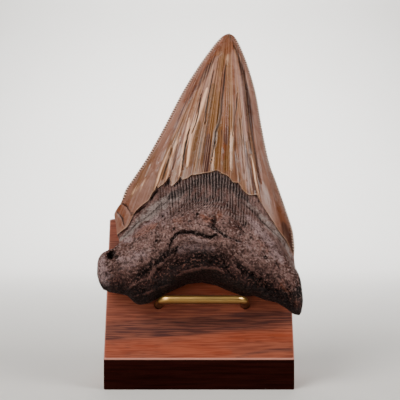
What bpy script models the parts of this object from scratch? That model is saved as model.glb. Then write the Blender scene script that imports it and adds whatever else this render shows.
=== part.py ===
"""Fossil megalodon tooth on its display stand.

The tooth leans back on the sloping face of a solid wood block, and its root sits on
a bracket of round brass rod.  The tooth is one closed body; block and bracket are
the other two.  Metres, +Z up, -Y towards the viewer.  The origin is the centre of
the block's underside.
"""

import math

import bmesh
import bpy
import numpy as np

MM = 0.001

# ---- driving dimensions, in millimetres and degrees -------------------------------

BLOCK_WIDTH = 72.0
BLOCK_DEPTH = 38.0
BLOCK_HEIGHT = 63.8
LIP_HEIGHT = 11.7           # upright front of the block, below the slope
LEAN = 20.0                 # the slope leans back this far from the vertical
BLOCK_ARRIS = 0.45          # width of the bevel on the block's edges

ROD = 3.175                 # 1/8 inch brass rod
BAR_STANDOFF = 9.3          # bar's centre line off the slope
BAR_UP_SLOPE = 20.6         # bracket's height, along the slope
LEG_ENTRY = (-15.6, 17.9)   # where the two legs enter the wood
LEG_CORNER = (-13.9, 16.8)  # where the legs would meet the bar if nothing were bent
ROD_BEND = 3.2              # radius of the rod's centre line round its corners
LEG_IN_WOOD = 8.0
HOLE_GAP = 0.35             # round each leg
HOLE_SPARE = 0.6            # the holes go this much deeper than the legs
DRILL_OUT = 3.0             # the drills stand this far out of the slope

SERRATIONS = 92             # along each cutting edge
SERRATION_DEPTH = 0.42
ENAMEL_LIP = 0.8            # the enamel stands this far above the neck
BACK_GAP = 0.45             # tooth's flat face to the wood

# The tooth is drawn in the plane of the slope: p to the right, q up the slope from
# the slope's lower edge, and n outwards from the wood.

TIP = (12.9, 139.0)

# Basal edge of the root, from the left lobe to the right one.
BASE_EDGE = (
    (-36.4, 25.0), (-32.6, 23.7), (-28.2, 23.3), (-26.1, 21.8), (-24.5, 20.1), (-22.2, 19.2),
    (-19.6, 19.6), (-17.7, 20.9), (-15.7, 22.2), (-14.0, 22.8), (-8.0, 25.8), (-4.9, 27.2),
    (-1.9, 27.8), (1.5, 28.0), (4.9, 27.4), (8.0, 26.2), (14.0, 23.6), (16.7, 22.7),
    (18.4, 22.5), (20.4, 22.9), (24.9, 21.2), (29.6, 20.1), (32.4, 18.3), (35.6, 15.6),
    (37.6, 15.2), (38.5, 16.4),
)

# Flanks of the root, from the basal edge up to the enamel.
LEFT_FLANK = (
    (-36.4, 25.0), (-38.2, 28.2), (-39.1, 31.8), (-39.1, 35.5), (-38.3, 38.0), (-36.7, 39.5),
    (-34.4, 40.0), (-32.7, 40.5), (-31.5, 42.4), (-31.3, 44.7), (-32.4, 47.9),
)
RIGHT_FLANK = ((38.5, 16.4), (39.3, 21.0), (39.0, 26.8), (38.4, 30.7), (37.4, 34.6), (37.1, 38.9))

# Lower margin of the enamel: ragged, with splintered strips on the left half.
ENAMEL_MARGIN = (
    (-32.4, 47.9), (-28.6, 50.2), (-27.0, 52.6), (-25.9, 55.1), (-23.1, 57.8), (-19.9, 59.8),
    (-18.4, 62.9), (-16.6, 65.6), (-16.2, 64.5), (-12.9, 66.9), (-11.5, 69.3), (-11.0, 64.8),
    (-8.2, 66.9), (-7.0, 68.5), (-6.6, 66.8), (-3.1, 68.6), (3.9, 69.5), (6.6, 70.4),
    (9.0, 69.0), (11.7, 67.7), (13.2, 65.5), (15.2, 65.4), (16.7, 62.7), (19.0, 60.6),
    (22.6, 61.0), (23.8, 58.5), (27.2, 52.8), (30.7, 48.0), (33.9, 44.8), (37.1, 38.9),
)

# Cutting edges, from the enamel's lower corners to the tip.
LEFT_EDGE = (
    (-32.4, 47.9), (-33.0, 52.6), (-33.8, 56.1), (-32.8, 58.8), (-31.4, 61.1), (-29.7, 66.6),
    (-27.1, 71.0), (-21.9, 79.7), (-15.2, 93.1), (-6.6, 111.7), (-1.3, 121.3), (4.8, 131.1),
    (8.8, 136.5), (11.3, 138.6), TIP,
)
RIGHT_EDGE = (
    (37.1, 38.9), (37.5, 42.8), (37.3, 47.3), (34.7, 58.1), (30.9, 71.0), (28.9, 77.5),
    (26.1, 94.1), (24.1, 109.4), (20.8, 123.7), (18.6, 130.6), (16.9, 135.0), (14.8, 138.2), TIP,
)

# Heights of the rounded front over the slope, as (share of the way, height).
EDGE_HEIGHT = 3.6           # cutting edges, over the wood
TIP_HEIGHT = 4.6
ROOT_RIM = 7.0              # middle of the root's rounded border
MARGIN_HEIGHT = 16.0        # middle of the crown where it leaves the root
CROWN_MIDDLE = ((0.0, 1.0), (0.2, 0.93), (0.45, 0.76), (0.7, 0.52), (0.88, 0.27), (0.96, 0.12), (1.0, 0.0))
CROWN_ACROSS = (
    (0.0, 0.0), (0.06, 0.21), (0.125, 0.42), (0.3, 0.82), (0.5, 1.0), (0.7, 0.93),
    (0.87, 0.57), (0.9, 0.42), (1.0, 0.0),
)
BEVEL_LINES = (0.125, 0.88)  # shares of the width where the bevels end, in CROWN_ACROSS
LEFT_BEVEL = ((0.0, 0.14), (0.55, 0.12), (0.78, 0.17), (0.86, 0.25), (0.94, 0.4), (1.0, 0.48))
RIGHT_BEVEL = ((0.0, 0.9), (0.6, 0.9), (0.86, 0.87), (0.95, 0.7), (1.0, 0.52))
BACK_ALONG = ((0.0, 1.0), (0.55, 1.0), (0.85, 0.7), (0.95, 0.35), (1.0, 0.0))
ROOT_MIDDLE = ((0.0, 15.5), (0.1, 16.6), (0.25, 18.8), (0.38, 21.8), (0.6, 20.0), (0.8, 17.6), (1.0, 15.6))
ROOT_LOBES = ((0.0, 9.5), (0.1, 10.8), (0.28, 13.8), (0.5, 13.4), (0.75, 12.5), (1.0, 11.0))
ROOT_ROUNDING = 5.0         # how far in from the basal edge the front reaches full height
MIDDLE_SPREAD = 0.27        # share of the width over which the middle's profile gives way to the lobes'
FLANK_FADE = 5              # the root's front stays full this sharply towards its flanks
NECK_RISE = (0.5, 1.0)      # the root's front turns into the crown's between these shares of the way up
RIM_FALL = (0.6, 1.0)       # its border comes down to the cutting edges between these
BACK_FLATNESS = (6, 0.7)    # the back's section is (1 - |x|^6)^0.7

# Relief on the root: each line is (points, half width, height), sunk where the height is below 0.
ROOT_LINES = {
    "ledge crack, left": (
        ((-10.5, 40.2), (-8.7, 42.4), (-6.0, 43.6), (-2.4, 43.5), (2.1, 42.1), (4.1, 41.7), (6.8, 42.8)),
        1.1, -1.7,
    ),
    "ledge crack, right": (
        ((2.8, 45.9), (6.8, 44.0), (9.5, 42.2), (13.0, 41.4), (15.6, 40.8)), 0.9, -1.2,
    ),
    "light brow under the ledge": (
        ((-10.5, 37.8), (-6.0, 40.6), (-2.4, 40.7), (4.1, 39.3), (9.5, 39.6), (13.0, 38.6)), 1.3, 0.9,
    ),
    "porous hollow": (((-15.0, 31.0), (-7.0, 35.2), (2.0, 36.2), (10.0, 34.0)), 3.6, -1.5),
    "basal ridge": (((-8.5, 28.4), (-4.7, 29.9), (1.8, 31.2), (5.5, 31.0), (9.6, 29.2)), 1.2, 1.5),
    "left lobe ridge": (
        ((-25.8, 24.7), (-21.2, 26.8), (-18.7, 27.6), (-16.4, 31.0), (-12.1, 34.4)), 1.2, 1.3,
    ),
    "right lobe ridge": (((12.7, 36.6), (15.4, 34.5), (17.6, 32.2), (19.9, 30.6)), 1.1, 1.1),
    "left lobe hollow": (((-27.0, 27.6), (-22.0, 29.4), (-18.5, 31.0)), 1.8, -0.9),
    "right lobe hollow": (((21.0, 27.0), (27.0, 24.6)), 2.2, -0.9),
    "lip of the left flange": (((-24.0, 21.6), (-20.2, 22.0), (-16.6, 23.6), (-12.0, 25.3)), 0.9, 1.0),
    "chipped notch": (((-33.6, 38.4), (-33.2, 36.0)), 1.5, -4.2),
    "neck groove, left": (
        ((-31.0, 45.6), (-26.8, 49.0), (-21.8, 52.3), (-15.9, 56.4), (-11.1, 59.0), (-5.4, 61.8)),
        0.9, -0.6,
    ),
    "neck groove, right": (
        ((15.7, 58.2), (19.6, 55.2), (24.3, 50.4), (28.8, 46.6), (31.9, 44.6)), 0.9, -0.6,
    ),
    "short crack": (((14.7, 45.2), (18.7, 49.4)), 0.8, -0.6),
}
ROOT_PITS = (((24.8, 35.6), 1.1, -1.0), ((20.3, 29.6), 1.2, -1.0), ((-13.7, 51.4), 1.0, -0.8),
             ((-6.4, 48.5), 1.0, -0.8), ((6.0, 50.5), 1.2, -0.7), ((33.0, 24.0), 1.4, -0.8))
LUMPS_HEIGHT = 0.35
LUMPS_FADE = (0.72, 0.9)    # the neck above is smooth

# Relief on the crown: the bevels' borders, long cracks and the edges of splintered strips.
CROWN_LINES = {
    "right bevel groove": (
        ((16.5, 128.0), (18.9, 119.0), (20.4, 109.3), (20.9, 97.1), (22.5, 83.4), (23.7, 74.3), (24.4, 66.0)),
        1.0, -0.7,
    ),
    "left bevel ridge": (((10.0, 127.5), (5.4, 121.2), (0.4, 113.2), (-7.8, 96.9), (-11.6, 85.0)), 1.2, 0.3),
    "strip ridge, outer": (((-12.0, 82.0), (-13.5, 77.1), (-15.4, 70.5), (-17.3, 65.0)), 0.8, 0.5),
    "strip groove": (((-10.6, 81.0), (-12.2, 75.0), (-13.6, 69.0)), 0.8, -0.4),
    "strip ridge, middle": (((-8.0, 86.9), (-9.9, 79.2), (-12.0, 70.2)), 0.8, 0.5),
    "strip crack": (((-3.6, 92.5), (-5.2, 82.0), (-6.6, 71.5)), 0.8, -0.6),
    "middle crack": (((11.0, 121.0), (9.4, 103.0), (8.0, 90.2), (5.5, 79.8), (4.5, 71.2)), 0.8, -0.4),
    "right crack": (((15.7, 107.7), (14.2, 93.0), (13.0, 84.0), (12.5, 72.7)), 0.8, -0.4),
}

# Serrations are worn away at the tip, and chipped off the lower left cutting edge.
WORN_TIP = (0.92, 0.98)
CHIPPED_LEFT = (0.12, 0.17)
WHOLE_RIGHT = (0.0, 0.03)

# Relief fades out at the borders of its sheet, between these shares of the way in.
RELIEF_SIDES = (0, 0.05)
RELIEF_BASE = (0, 0.07)
RELIEF_TIP = (0.9, 0.97)

COLUMNS = 34
COLUMN_CROWDING = 0.55      # how far the columns crowd towards both borders, 0 to 1
ROOT_ROWS = 16
ROOT_ROW_CROWDING = 1.6     # power that crowds the root's rows towards the basal edge
CROWN_ROWS = SERRATIONS // 2
RIM_POINTS = 4              # to a row of the crown, so that each serration has a crest and a notch
HEADING_STEP = 0.004        # share of a cutting edge over which its direction is read


# ---- curves --------------------------------------------------------------------------

def through(x, knots):
    """A smooth curve through (x, y) knots, read at x: cubic pieces that never overshoot."""
    xs, ys = np.array(list(knots), float).T
    steps = np.diff(xs)
    slopes = np.diff(ys) / steps
    tangents = np.concatenate([slopes[:1], np.zeros(len(xs) - 2), slopes[-1:]])
    before, after = slopes[:-1], slopes[1:]
    level = before * after <= 0
    tangents[1:-1] = np.where(level, 0, 2 * before * after / np.where(level, 1, before + after))
    x = np.clip(x, xs[0], xs[-1])
    i = np.clip(np.searchsorted(xs, x, side="right") - 1, 0, len(steps) - 1)
    t = (x - xs[i]) / steps[i]
    rising = t * t * (3 - 2 * t)
    bends = (t * (1 - t) ** 2 * tangents[i] - t * t * (1 - t) * tangents[i + 1]) * steps[i]
    return ys[i] + (ys[i + 1] - ys[i]) * rising + bends


def along(knots, share):
    """Points (p, q) at shares 0 to 1 of the way along a smooth line through the knots."""
    knots = np.array(knots, float)
    run = np.concatenate([[0], np.cumsum(np.hypot(*np.diff(knots, axis=0).T))])
    run /= run[-1]
    return np.stack([through(share, zip(run, knots[:, axis])) for axis in (0, 1)], axis=-1)


def smooth_step(x, start, end):
    t = np.clip((x - start) / (end - start), 0, 1)
    return t * t * (3 - 2 * t)


def mix(a, b, share):
    return a + (b - a) * share


# ---- tooth ---------------------------------------------------------------------------

def base_edge(u):
    p = mix(BASE_EDGE[0][0], BASE_EDGE[-1][0], u)
    return np.stack([p, through(p, BASE_EDGE)], axis=-1)


def enamel_margin(u):
    p = mix(ENAMEL_MARGIN[0][0], ENAMEL_MARGIN[-1][0], u)
    ps, qs = np.array(ENAMEL_MARGIN).T
    return np.stack([p, np.interp(p, ps, qs)], axis=-1)


def patch(u, v, bottom, top, left, right):
    """Blends four border curves into a surface: each pair across, less the corners twice counted."""
    u, v = u[..., None], v[..., None]
    across = mix(left, right, u)
    up = mix(bottom, top, v)
    corners = mix(mix(left[:1, :1], right[:1, :1], u), mix(left[-1:, -1:], right[-1:, -1:], u), v)
    return across + up - corners


def crown_across(u, w):
    """The front's height across the crown as a share of its middle height.

    A bevel runs in from each cutting edge.  Towards the tip both bevels widen
    until they meet.
    """
    left = through(w, LEFT_BEVEL)
    right = through(w, RIGHT_BEVEL)
    low = u / left * BEVEL_LINES[0]
    middle = mix(BEVEL_LINES[0], BEVEL_LINES[1], (u - left) / (right - left))
    high = mix(BEVEL_LINES[1], 1, (u - right) / (1 - right))
    return through(np.where(u < left, low, np.where(u > right, high, middle)), CROWN_ACROSS)


def back_across(u):
    sharpness, power = BACK_FLATNESS
    return (1 - np.abs(2 * u - 1) ** sharpness) ** power


def rounding(distance, reach):
    """A quarter circle: 0 at the border, 1 from the reach inwards."""
    return np.sqrt(1 - (1 - np.clip(distance / reach, 0, 1)) ** 2)


def crown_sheets(u, w):
    """Places, front heights and back heights of the crown, u across it and w up it."""
    margin = enamel_margin(u)
    tip = np.broadcast_to(np.array(TIP, float), margin.shape)
    plane = patch(u, w, margin, tip, along(LEFT_EDGE, w), along(RIGHT_EDGE, w))
    edge = mix(EDGE_HEIGHT, TIP_HEIGHT, w)
    rise = (MARGIN_HEIGHT - EDGE_HEIGHT) * through(w, CROWN_MIDDLE)
    front = edge + rise * crown_across(u, w)
    back = edge - (edge - BACK_GAP) * back_across(u) * through(w, BACK_ALONG)
    return plane, front, back


def root_sheets(u, v):
    """The same for the root, u across it and v up it."""
    base = base_edge(u)
    margin = enamel_margin(u)
    plane = patch(u, v, base, margin, along(LEFT_FLANK, v), along(RIGHT_FLANK, v))
    reach_in = v * (margin[..., 1] - base[..., 1])
    rim = mix(ROOT_RIM, EDGE_HEIGHT, smooth_step(v, *RIM_FALL))
    middle_share = np.exp(-(((u - 0.5) / MIDDLE_SPREAD) ** 2))
    full = mix(through(v, ROOT_LOBES), through(v, ROOT_MIDDLE), middle_share)
    plump = np.sqrt(1 - np.abs(2 * u - 1) ** FLANK_FADE)
    front = rim + (full - rim) * plump * rounding(reach_in, ROOT_ROUNDING)
    lip = ENAMEL_LIP * smooth_step(np.minimum(u, 1 - u), *RELIEF_SIDES)
    neck = EDGE_HEIGHT + (MARGIN_HEIGHT - EDGE_HEIGHT) * crown_across(u, np.zeros_like(v)) - lip
    front = mix(front, neck, smooth_step(v, *NECK_RISE))
    back = rim - (rim - BACK_GAP) * back_across(u) * rounding(reach_in, ROOT_ROUNDING)
    return plane, front, back


def stroke(plane, path, width):
    """1 along a line drawn on the tooth, falling to 0 on both sides of it."""
    nearest = np.full(plane.shape[:-1], np.inf)
    for start, end in zip(np.array(path[:-1], float), np.array(path[1:], float)):
        run = end - start
        share = np.clip(((plane - start) @ run) / (run @ run), 0, 1)
        nearest = np.minimum(nearest, np.linalg.norm(plane - start - share[..., None] * run, axis=-1))
    return np.exp(-((nearest / width) ** 2))


def drawn(plane, lines):
    """All the lines of a relief, added up."""
    return sum(height * stroke(plane, path, width) for path, width, height in lines)


def lumps(p, q):
    """Low swellings of two sizes: sines across the root times sines up it, each bent by the other."""
    large = np.sin(0.83 * p + 1.7 * np.sin(0.31 * q)) * np.sin(0.71 * q + 1.3 * np.sin(0.43 * p))
    small = np.sin(1.9 * p - 0.8 * q) * np.sin(1.5 * q + 0.9 * p)
    return large + small / 2


def pits(plane):
    """Round pits, deepest at their centres."""
    return sum(
        height * np.exp(-(np.linalg.norm(plane - np.array(place), axis=-1) / radius) ** 2)
        for place, radius, height in ROOT_PITS
    )


def root_relief(plane, u, v):
    """Cracks, ridges, hollows and pits over low lumps, fading out at the border."""
    inside = smooth_step(np.minimum(u, 1 - u), *RELIEF_SIDES) * smooth_step(v, *RELIEF_BASE)
    below_neck = 1 - smooth_step(v, *LUMPS_FADE)
    swelling = LUMPS_HEIGHT * lumps(plane[..., 0], plane[..., 1]) * below_neck
    return inside * (drawn(plane, ROOT_LINES.values()) + pits(plane) + swelling)


def crown_relief(plane, u, w):
    inside = smooth_step(np.minimum(u, 1 - u), *RELIEF_SIDES) * (1 - smooth_step(w, *RELIEF_TIP))
    return inside * drawn(plane, CROWN_LINES.values())


def serrated(edge, outward, w, whole):
    """A cutting edge moved out at the crests of its serrations and in at their notches."""
    heading = along(edge, np.minimum(w + HEADING_STEP, 1)) - along(edge, np.maximum(w - HEADING_STEP, 0))
    normal = np.stack([heading[:, 1], -heading[:, 0]], axis=-1)
    normal *= outward / np.linalg.norm(normal, axis=1, keepdims=True)
    left_over = smooth_step(w, *whole) * (1 - smooth_step(w, *WORN_TIP))
    wave = -SERRATION_DEPTH / 2 * np.cos(2 * math.pi * SERRATIONS * w)
    return along(edge, w) + normal * (wave * left_over)[:, None]


def sheet_faces(lower, upper, chains):
    """Faces between two rows of a sheet seen from its front; chains are the finer rims beside it."""
    faces = [
        (lower[i], lower[i + 1], upper[i + 1], upper[i])
        for i in range(1, len(lower) - 2)
    ]
    left, right = chains
    faces += rim_fan(lower[1], upper[1], left, turned=True)
    faces += rim_fan(lower[-2], upper[-2], right, turned=False)
    return faces


def rim_fan(low, high, chain, turned):
    """Joins the rim points between two rows to the first points in from the rim."""
    half = len(chain) - 1 if high == chain[-1] else len(chain) // 2
    fan = [(low, chain[k], chain[k + 1]) for k in range(half)]
    fan.append((low, chain[half], high))
    fan += [(high, chain[k], chain[k + 1]) for k in range(half, len(chain) - 1)]
    return [face[::-1] for face in fan] if turned else fan


def without_repeats(face):
    kept = [point for k, point in enumerate(face) if point != face[k - 1]]
    return kept if len(set(kept)) > 2 else None


def tooth_mesh():
    """The whole tooth as one closed body: front and back sheets of root and crown on shared rims."""
    even = np.linspace(0, 1, COLUMNS + 1)
    u_line = mix(even, 0.5 - 0.5 * np.cos(math.pi * even), COLUMN_CROWDING)
    v_line = np.linspace(0, 1, ROOT_ROWS + 1) ** ROOT_ROW_CROWDING
    w_line = np.linspace(0, 1, CROWN_ROWS + 1)
    u_root, v_root = np.meshgrid(u_line, v_line)
    u_crown, w_crown = np.meshgrid(u_line, w_line)
    root_plane, root_front, root_back = root_sheets(u_root, v_root)
    crown_plane, crown_front, crown_back = crown_sheets(u_crown, w_crown)
    root_front = root_front + root_relief(root_plane, u_root, v_root)
    crown_front = crown_front + crown_relief(crown_plane, u_crown, w_crown)

    points = []

    def add(plane, height):
        points.append((plane[0] * MM, plane[1] * MM, height * MM))
        return len(points) - 1

    # Rims: the basal edge, then each flank and cutting edge, bottom to top.
    fine = np.linspace(0, 1, RIM_POINTS * CROWN_ROWS + 1)
    left_line = serrated(LEFT_EDGE, -1, fine, CHIPPED_LEFT)
    right_line = serrated(RIGHT_EDGE, 1, fine, WHOLE_RIGHT)
    rim_height = mix(EDGE_HEIGHT, TIP_HEIGHT, fine)
    basal = [add(xy, ROOT_RIM) for xy in root_plane[0]]
    root_rims = [[basal[0]], [basal[-1]]]
    for side, rim in zip((0, -1), root_rims):
        for row in range(1, ROOT_ROWS + 1):
            rim.append(add(root_plane[row, side], root_front[row, side]))
    crown_rims = [[root_rims[0][-1]], [root_rims[1][-1]]]
    for line, rim in zip((left_line, right_line), crown_rims):
        for k in range(1, len(fine) - 1):
            rim.append(add(line[k], rim_height[k]))
    tip = add(TIP, TIP_HEIGHT)
    for rim in crown_rims:
        rim.append(tip)

    def rows_of(plane, height, rims, step):
        """Point numbers row by row, with the shared rim points at both ends."""
        rows = []
        for j in range(len(plane)):
            inner = [add(plane[j, i], height[j, i]) for i in range(1, COLUMNS)]
            rows.append([rims[0][j * step], *inner, rims[1][j * step]])
        return rows

    def root_rows(height):
        inner = rows_of(root_plane[1:], height[1:], [rim[1:] for rim in root_rims], 1)
        return [basal, *inner]

    def crown_rows(height, first):
        rims = [rim[RIM_POINTS * first:] for rim in crown_rims]
        inner = rows_of(crown_plane[first:-1], height[first:-1], rims, RIM_POINTS)
        return [*inner, [tip] * (COLUMNS + 1)]

    def root_chains(j):
        return [rim[j:j + 2] for rim in root_rims]

    def crown_chains(j):
        return [rim[RIM_POINTS * j:RIM_POINTS * (j + 1) + 1] for rim in crown_rims]

    faces = []
    front_root, front_crown = root_rows(root_front), crown_rows(crown_front, 0)
    back_root = root_rows(root_back)
    back_crown = [back_root[-1], *crown_rows(crown_back, 1)]
    lip_chains = [[rim[-1]] for rim in root_rims]
    faces += sheet_faces(front_root[-1], front_crown[0], lip_chains)
    for j in range(ROOT_ROWS):
        faces += sheet_faces(front_root[j], front_root[j + 1], root_chains(j))
        faces += [face[::-1] for face in sheet_faces(back_root[j], back_root[j + 1], root_chains(j))]
    for j in range(CROWN_ROWS):
        faces += sheet_faces(front_crown[j], front_crown[j + 1], crown_chains(j))
        faces += [face[::-1] for face in sheet_faces(back_crown[j], back_crown[j + 1], crown_chains(j))]
    faces = [kept for kept in map(without_repeats, faces) if kept]

    mesh = bpy.data.meshes.new("tooth")
    mesh.from_pydata(points, [], faces)
    return mesh


# ---- stand ---------------------------------------------------------------------------

def block_mesh():
    """The block's side view, drawn from the front's lower edge round to the back, then widened."""
    half = BLOCK_DEPTH / 2
    slope_run = (BLOCK_HEIGHT - LIP_HEIGHT) * math.tan(math.radians(LEAN))
    outline = (
        (-half, 0), (half, 0), (half, BLOCK_HEIGHT), (slope_run - half, BLOCK_HEIGHT),
        (-half, LIP_HEIGHT),
    )
    body = bmesh.new()
    side = [
        body.verts.new((-BLOCK_WIDTH / 2 * MM, y * MM, z * MM))
        for y, z in outline
    ]
    face = body.faces.new(side)
    moved = bmesh.ops.extrude_face_region(body, geom=[face])["geom"]
    corners = [item for item in moved if isinstance(item, bmesh.types.BMVert)]
    bmesh.ops.translate(body, vec=(BLOCK_WIDTH * MM, 0, 0), verts=corners)
    bmesh.ops.recalc_face_normals(body, faces=body.faces)
    mesh = bpy.data.meshes.new("wood_block")
    body.to_mesh(mesh)
    body.free()
    return mesh


def leg_point(side, n):
    """A leg's centre at height n off the slope: the legs draw together towards the bar."""
    return (mix(LEG_ENTRY[side], LEG_CORNER[side], n / BAR_STANDOFF), BAR_UP_SLOPE, n)


def bend(before, corner, after, radius, steps=6):
    """Points round a corner of the rod, as an arc of the given radius."""
    corner = np.array(corner)
    back = np.array(before) - corner
    on = np.array(after) - corner
    back /= np.linalg.norm(back)
    on /= np.linalg.norm(on)
    half_angle = math.acos(float(back @ on)) / 2
    middle = corner + (back + on) / np.linalg.norm(back + on) * radius / math.sin(half_angle)
    start = back * radius / math.tan(half_angle) + corner - middle
    end = on * radius / math.tan(half_angle) + corner - middle
    turn = math.pi - 2 * half_angle
    arc = []
    for k in range(steps + 1):
        t = k / steps
        arc.append(middle + (math.sin((1 - t) * turn) * start + math.sin(t * turn) * end) / math.sin(turn))
    return arc


def bracket_curve():
    """A staple of round rod: two legs out of the wood and a bar across."""
    feet = [leg_point(side, -LEG_IN_WOOD) for side in (0, 1)]
    corners = [leg_point(side, BAR_STANDOFF) for side in (0, 1)]
    route = [feet[0]]
    route += bend(feet[0], corners[0], corners[1], ROD_BEND)
    route += bend(corners[0], corners[1], feet[1], ROD_BEND)
    route.append(feet[1])
    curve = bpy.data.curves.new("brass_bracket", "CURVE")
    curve.dimensions = "3D"
    curve.bevel_depth = ROD / 2 * MM
    curve.bevel_resolution = 4
    curve.use_fill_caps = True
    spline = curve.splines.new("POLY")
    spline.points.add(len(route) - 1)
    for point, place in zip(spline.points, route):
        point.co = (*(value * MM for value in place), 1)
    return curve


def leg_drill(side, parent):
    """A drill as long as the leg in the wood, with clearance all round, along the leg."""
    top = np.array(leg_point(side, DRILL_OUT))
    bottom = np.array(leg_point(side, -LEG_IN_WOOD - HOLE_SPARE))
    axis = top - bottom
    radius = (ROD / 2 + HOLE_GAP) * MM
    body = bmesh.new()
    bmesh.ops.create_cone(
        body, cap_ends=True, segments=24, radius1=radius, radius2=radius,
        depth=float(np.linalg.norm(axis)) * MM,
    )
    mesh = bpy.data.meshes.new(f"drill_{side}")
    body.to_mesh(mesh)
    body.free()
    drill = add_object(f"drill_{side}", mesh, None, parent)
    drill.location = (top + bottom) / 2 * MM
    drill.rotation_euler = (0, math.atan2(axis[0], axis[2]), 0)
    drill.hide_render = True
    drill.display_type = "WIRE"
    return drill


# ---- materials and scene -------------------------------------------------------------

def material(name, color, roughness, metallic=0.0):
    made = bpy.data.materials.new(name)
    made.use_nodes = True
    shader = made.node_tree.nodes["Principled BSDF"]
    shader.inputs["Base Color"].default_value = (*color, 1)
    shader.inputs["Roughness"].default_value = roughness
    shader.inputs["Metallic"].default_value = metallic
    return made


def add_object(name, data, finish, parent=None):
    made = bpy.data.objects.new(name, data)
    if finish:
        data.materials.append(finish)
    made.parent = parent
    bpy.context.scene.collection.objects.link(made)
    return made


def clear_scene():
    for item in list(bpy.data.objects):
        bpy.data.objects.remove(item, do_unlink=True)


def build():
    clear_scene()

    # The slope's own axes: X across, Y up the slope, Z out of the wood.
    slope = add_object("slope", None, None)
    slope.location = (0, -BLOCK_DEPTH / 2 * MM, LIP_HEIGHT * MM)
    slope.rotation_euler = (math.radians(90 - LEAN), 0, 0)

    wood = material("oiled_hardwood", (0.20, 0.075, 0.045), 0.45)
    block = add_object("wood_block", block_mesh(), wood)
    arris = block.modifiers.new("Arris", "BEVEL")
    arris.width = BLOCK_ARRIS * MM
    arris.segments = 2
    for side in (0, 1):
        hole = block.modifiers.new(f"Leg hole {side}", "BOOLEAN")
        hole.operation = "DIFFERENCE"
        hole.object = leg_drill(side, slope)

    brass = material("brass", (0.62, 0.40, 0.13), 0.3, 1.0)
    add_object("brass_bracket", bracket_curve(), brass, slope)

    fossil = material("fossil", (0.17, 0.11, 0.085), 0.5)
    tooth = add_object("tooth", tooth_mesh(), fossil, slope)
    tooth.data.shade_smooth()
    tooth.data.set_sharp_from_angle(angle=math.radians(40))


build()
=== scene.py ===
# %% [markdown]
# # A fossil megalodon tooth on its stand
#
# The real object is a tooth as long as a hand: glossy enamel above, a rough porous root below, and a grey
# band called the neck between them.  It leans on a wedge of reddish wood, and its root sits on a staple of
# brass rod.  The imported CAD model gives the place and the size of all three.  This script makes the fine
# surfaces and the finishes that the solids leave out.

# %% Load the frame
import math
from types import SimpleNamespace

import bpy
import numpy as np
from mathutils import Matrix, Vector


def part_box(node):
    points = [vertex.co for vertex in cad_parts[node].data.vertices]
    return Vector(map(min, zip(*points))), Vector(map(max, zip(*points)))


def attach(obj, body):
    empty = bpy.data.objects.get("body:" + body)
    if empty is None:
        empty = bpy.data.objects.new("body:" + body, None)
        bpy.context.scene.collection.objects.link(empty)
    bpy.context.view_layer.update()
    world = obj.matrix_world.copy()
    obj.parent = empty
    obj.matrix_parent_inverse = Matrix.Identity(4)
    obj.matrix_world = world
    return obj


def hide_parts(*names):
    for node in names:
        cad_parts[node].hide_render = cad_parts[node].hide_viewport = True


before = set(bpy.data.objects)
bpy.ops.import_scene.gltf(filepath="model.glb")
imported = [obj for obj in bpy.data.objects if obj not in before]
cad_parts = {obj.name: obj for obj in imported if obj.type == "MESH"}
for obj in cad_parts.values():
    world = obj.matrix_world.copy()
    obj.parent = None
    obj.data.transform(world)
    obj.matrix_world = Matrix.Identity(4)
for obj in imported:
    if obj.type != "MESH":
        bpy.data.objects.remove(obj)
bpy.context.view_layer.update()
for node in sorted(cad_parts):
    low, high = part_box(node)
    print(node, "is", [round(1000 * side, 1) for side in high - low], "mm")

# %% [markdown]
# ## Working units and the sloping face
#
# A tooth is easiest to draw flat.  So everything that touches the slope is drawn in the slope's own
# directions: p to the right, q up the slope from its lower edge, and n straight out of the wood, all in
# millimetres.  One function then lays the drawing on the wedge.  Moving the points once, here, keeps every
# object's own origin at the world's origin, which the frame asks for.

# %% Millimetres on the slope, metres in the world
MM = 0.001
LEAN = math.radians(20.0)
LIP_HEIGHT = 11.7
block_low, block_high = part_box("wood_block")
BLOCK_FRONT = block_low.y / MM


def on_slope(p, q, n):
    """World places of slope places: up the slope is q along (0, sin, cos) of the lean, and out of it is n
    along (0, -cos, sin)."""
    sine, cosine = math.sin(LEAN), math.cos(LEAN)
    y = BLOCK_FRONT + q * sine - n * cosine
    z = LIP_HEIGHT + q * cosine + n * sine
    return np.stack(np.broadcast_arrays(p, y, z), axis=-1) * MM


print("the slope starts at", [round(float(value), 4) for value in on_slope(0.0, 0.0, 0.0)])

# %% [markdown]
# ## Curves through a few points
#
# Outlines and profiles are given by a few knots.  A cubic through them can swing past a knot, which would
# put false bumps on a fossil, so the slopes at the knots are harmonic means: such a curve never overshoots.

# %% Curve helpers
def mix(a, b, share):
    """a at share 0, b at share 1, in a straight line between."""
    return a + (b - a) * share


def smooth_step(x, start, end):
    """0 before start, 1 after end, and 3t^2 - 2t^3 of the share t between."""
    t = np.clip((x - start) / (end - start), 0, 1)
    return t * t * (3 - 2 * t)


def through(x, knots):
    """A smooth curve through (x, y) knots, read at x: cubic pieces whose slope at a knot is the harmonic
    mean of the slopes beside it, or 0 at a peak."""
    xs, ys = np.array(list(knots), float).T
    steps = np.diff(xs)
    slopes = np.diff(ys) / steps
    tangents = np.concatenate([slopes[:1], np.zeros(len(xs) - 2), slopes[-1:]])
    before, after = slopes[:-1], slopes[1:]
    level = before * after <= 0
    tangents[1:-1] = np.where(level, 0, 2 * before * after / np.where(level, 1, before + after))
    x = np.clip(x, xs[0], xs[-1])
    i = np.clip(np.searchsorted(xs, x, side="right") - 1, 0, len(steps) - 1)
    t = (x - xs[i]) / steps[i]
    bends = (t * (1 - t) ** 2 * tangents[i] - t * t * (1 - t) * tangents[i + 1]) * steps[i]
    return ys[i] + (ys[i + 1] - ys[i]) * t * t * (3 - 2 * t) + bends


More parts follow.
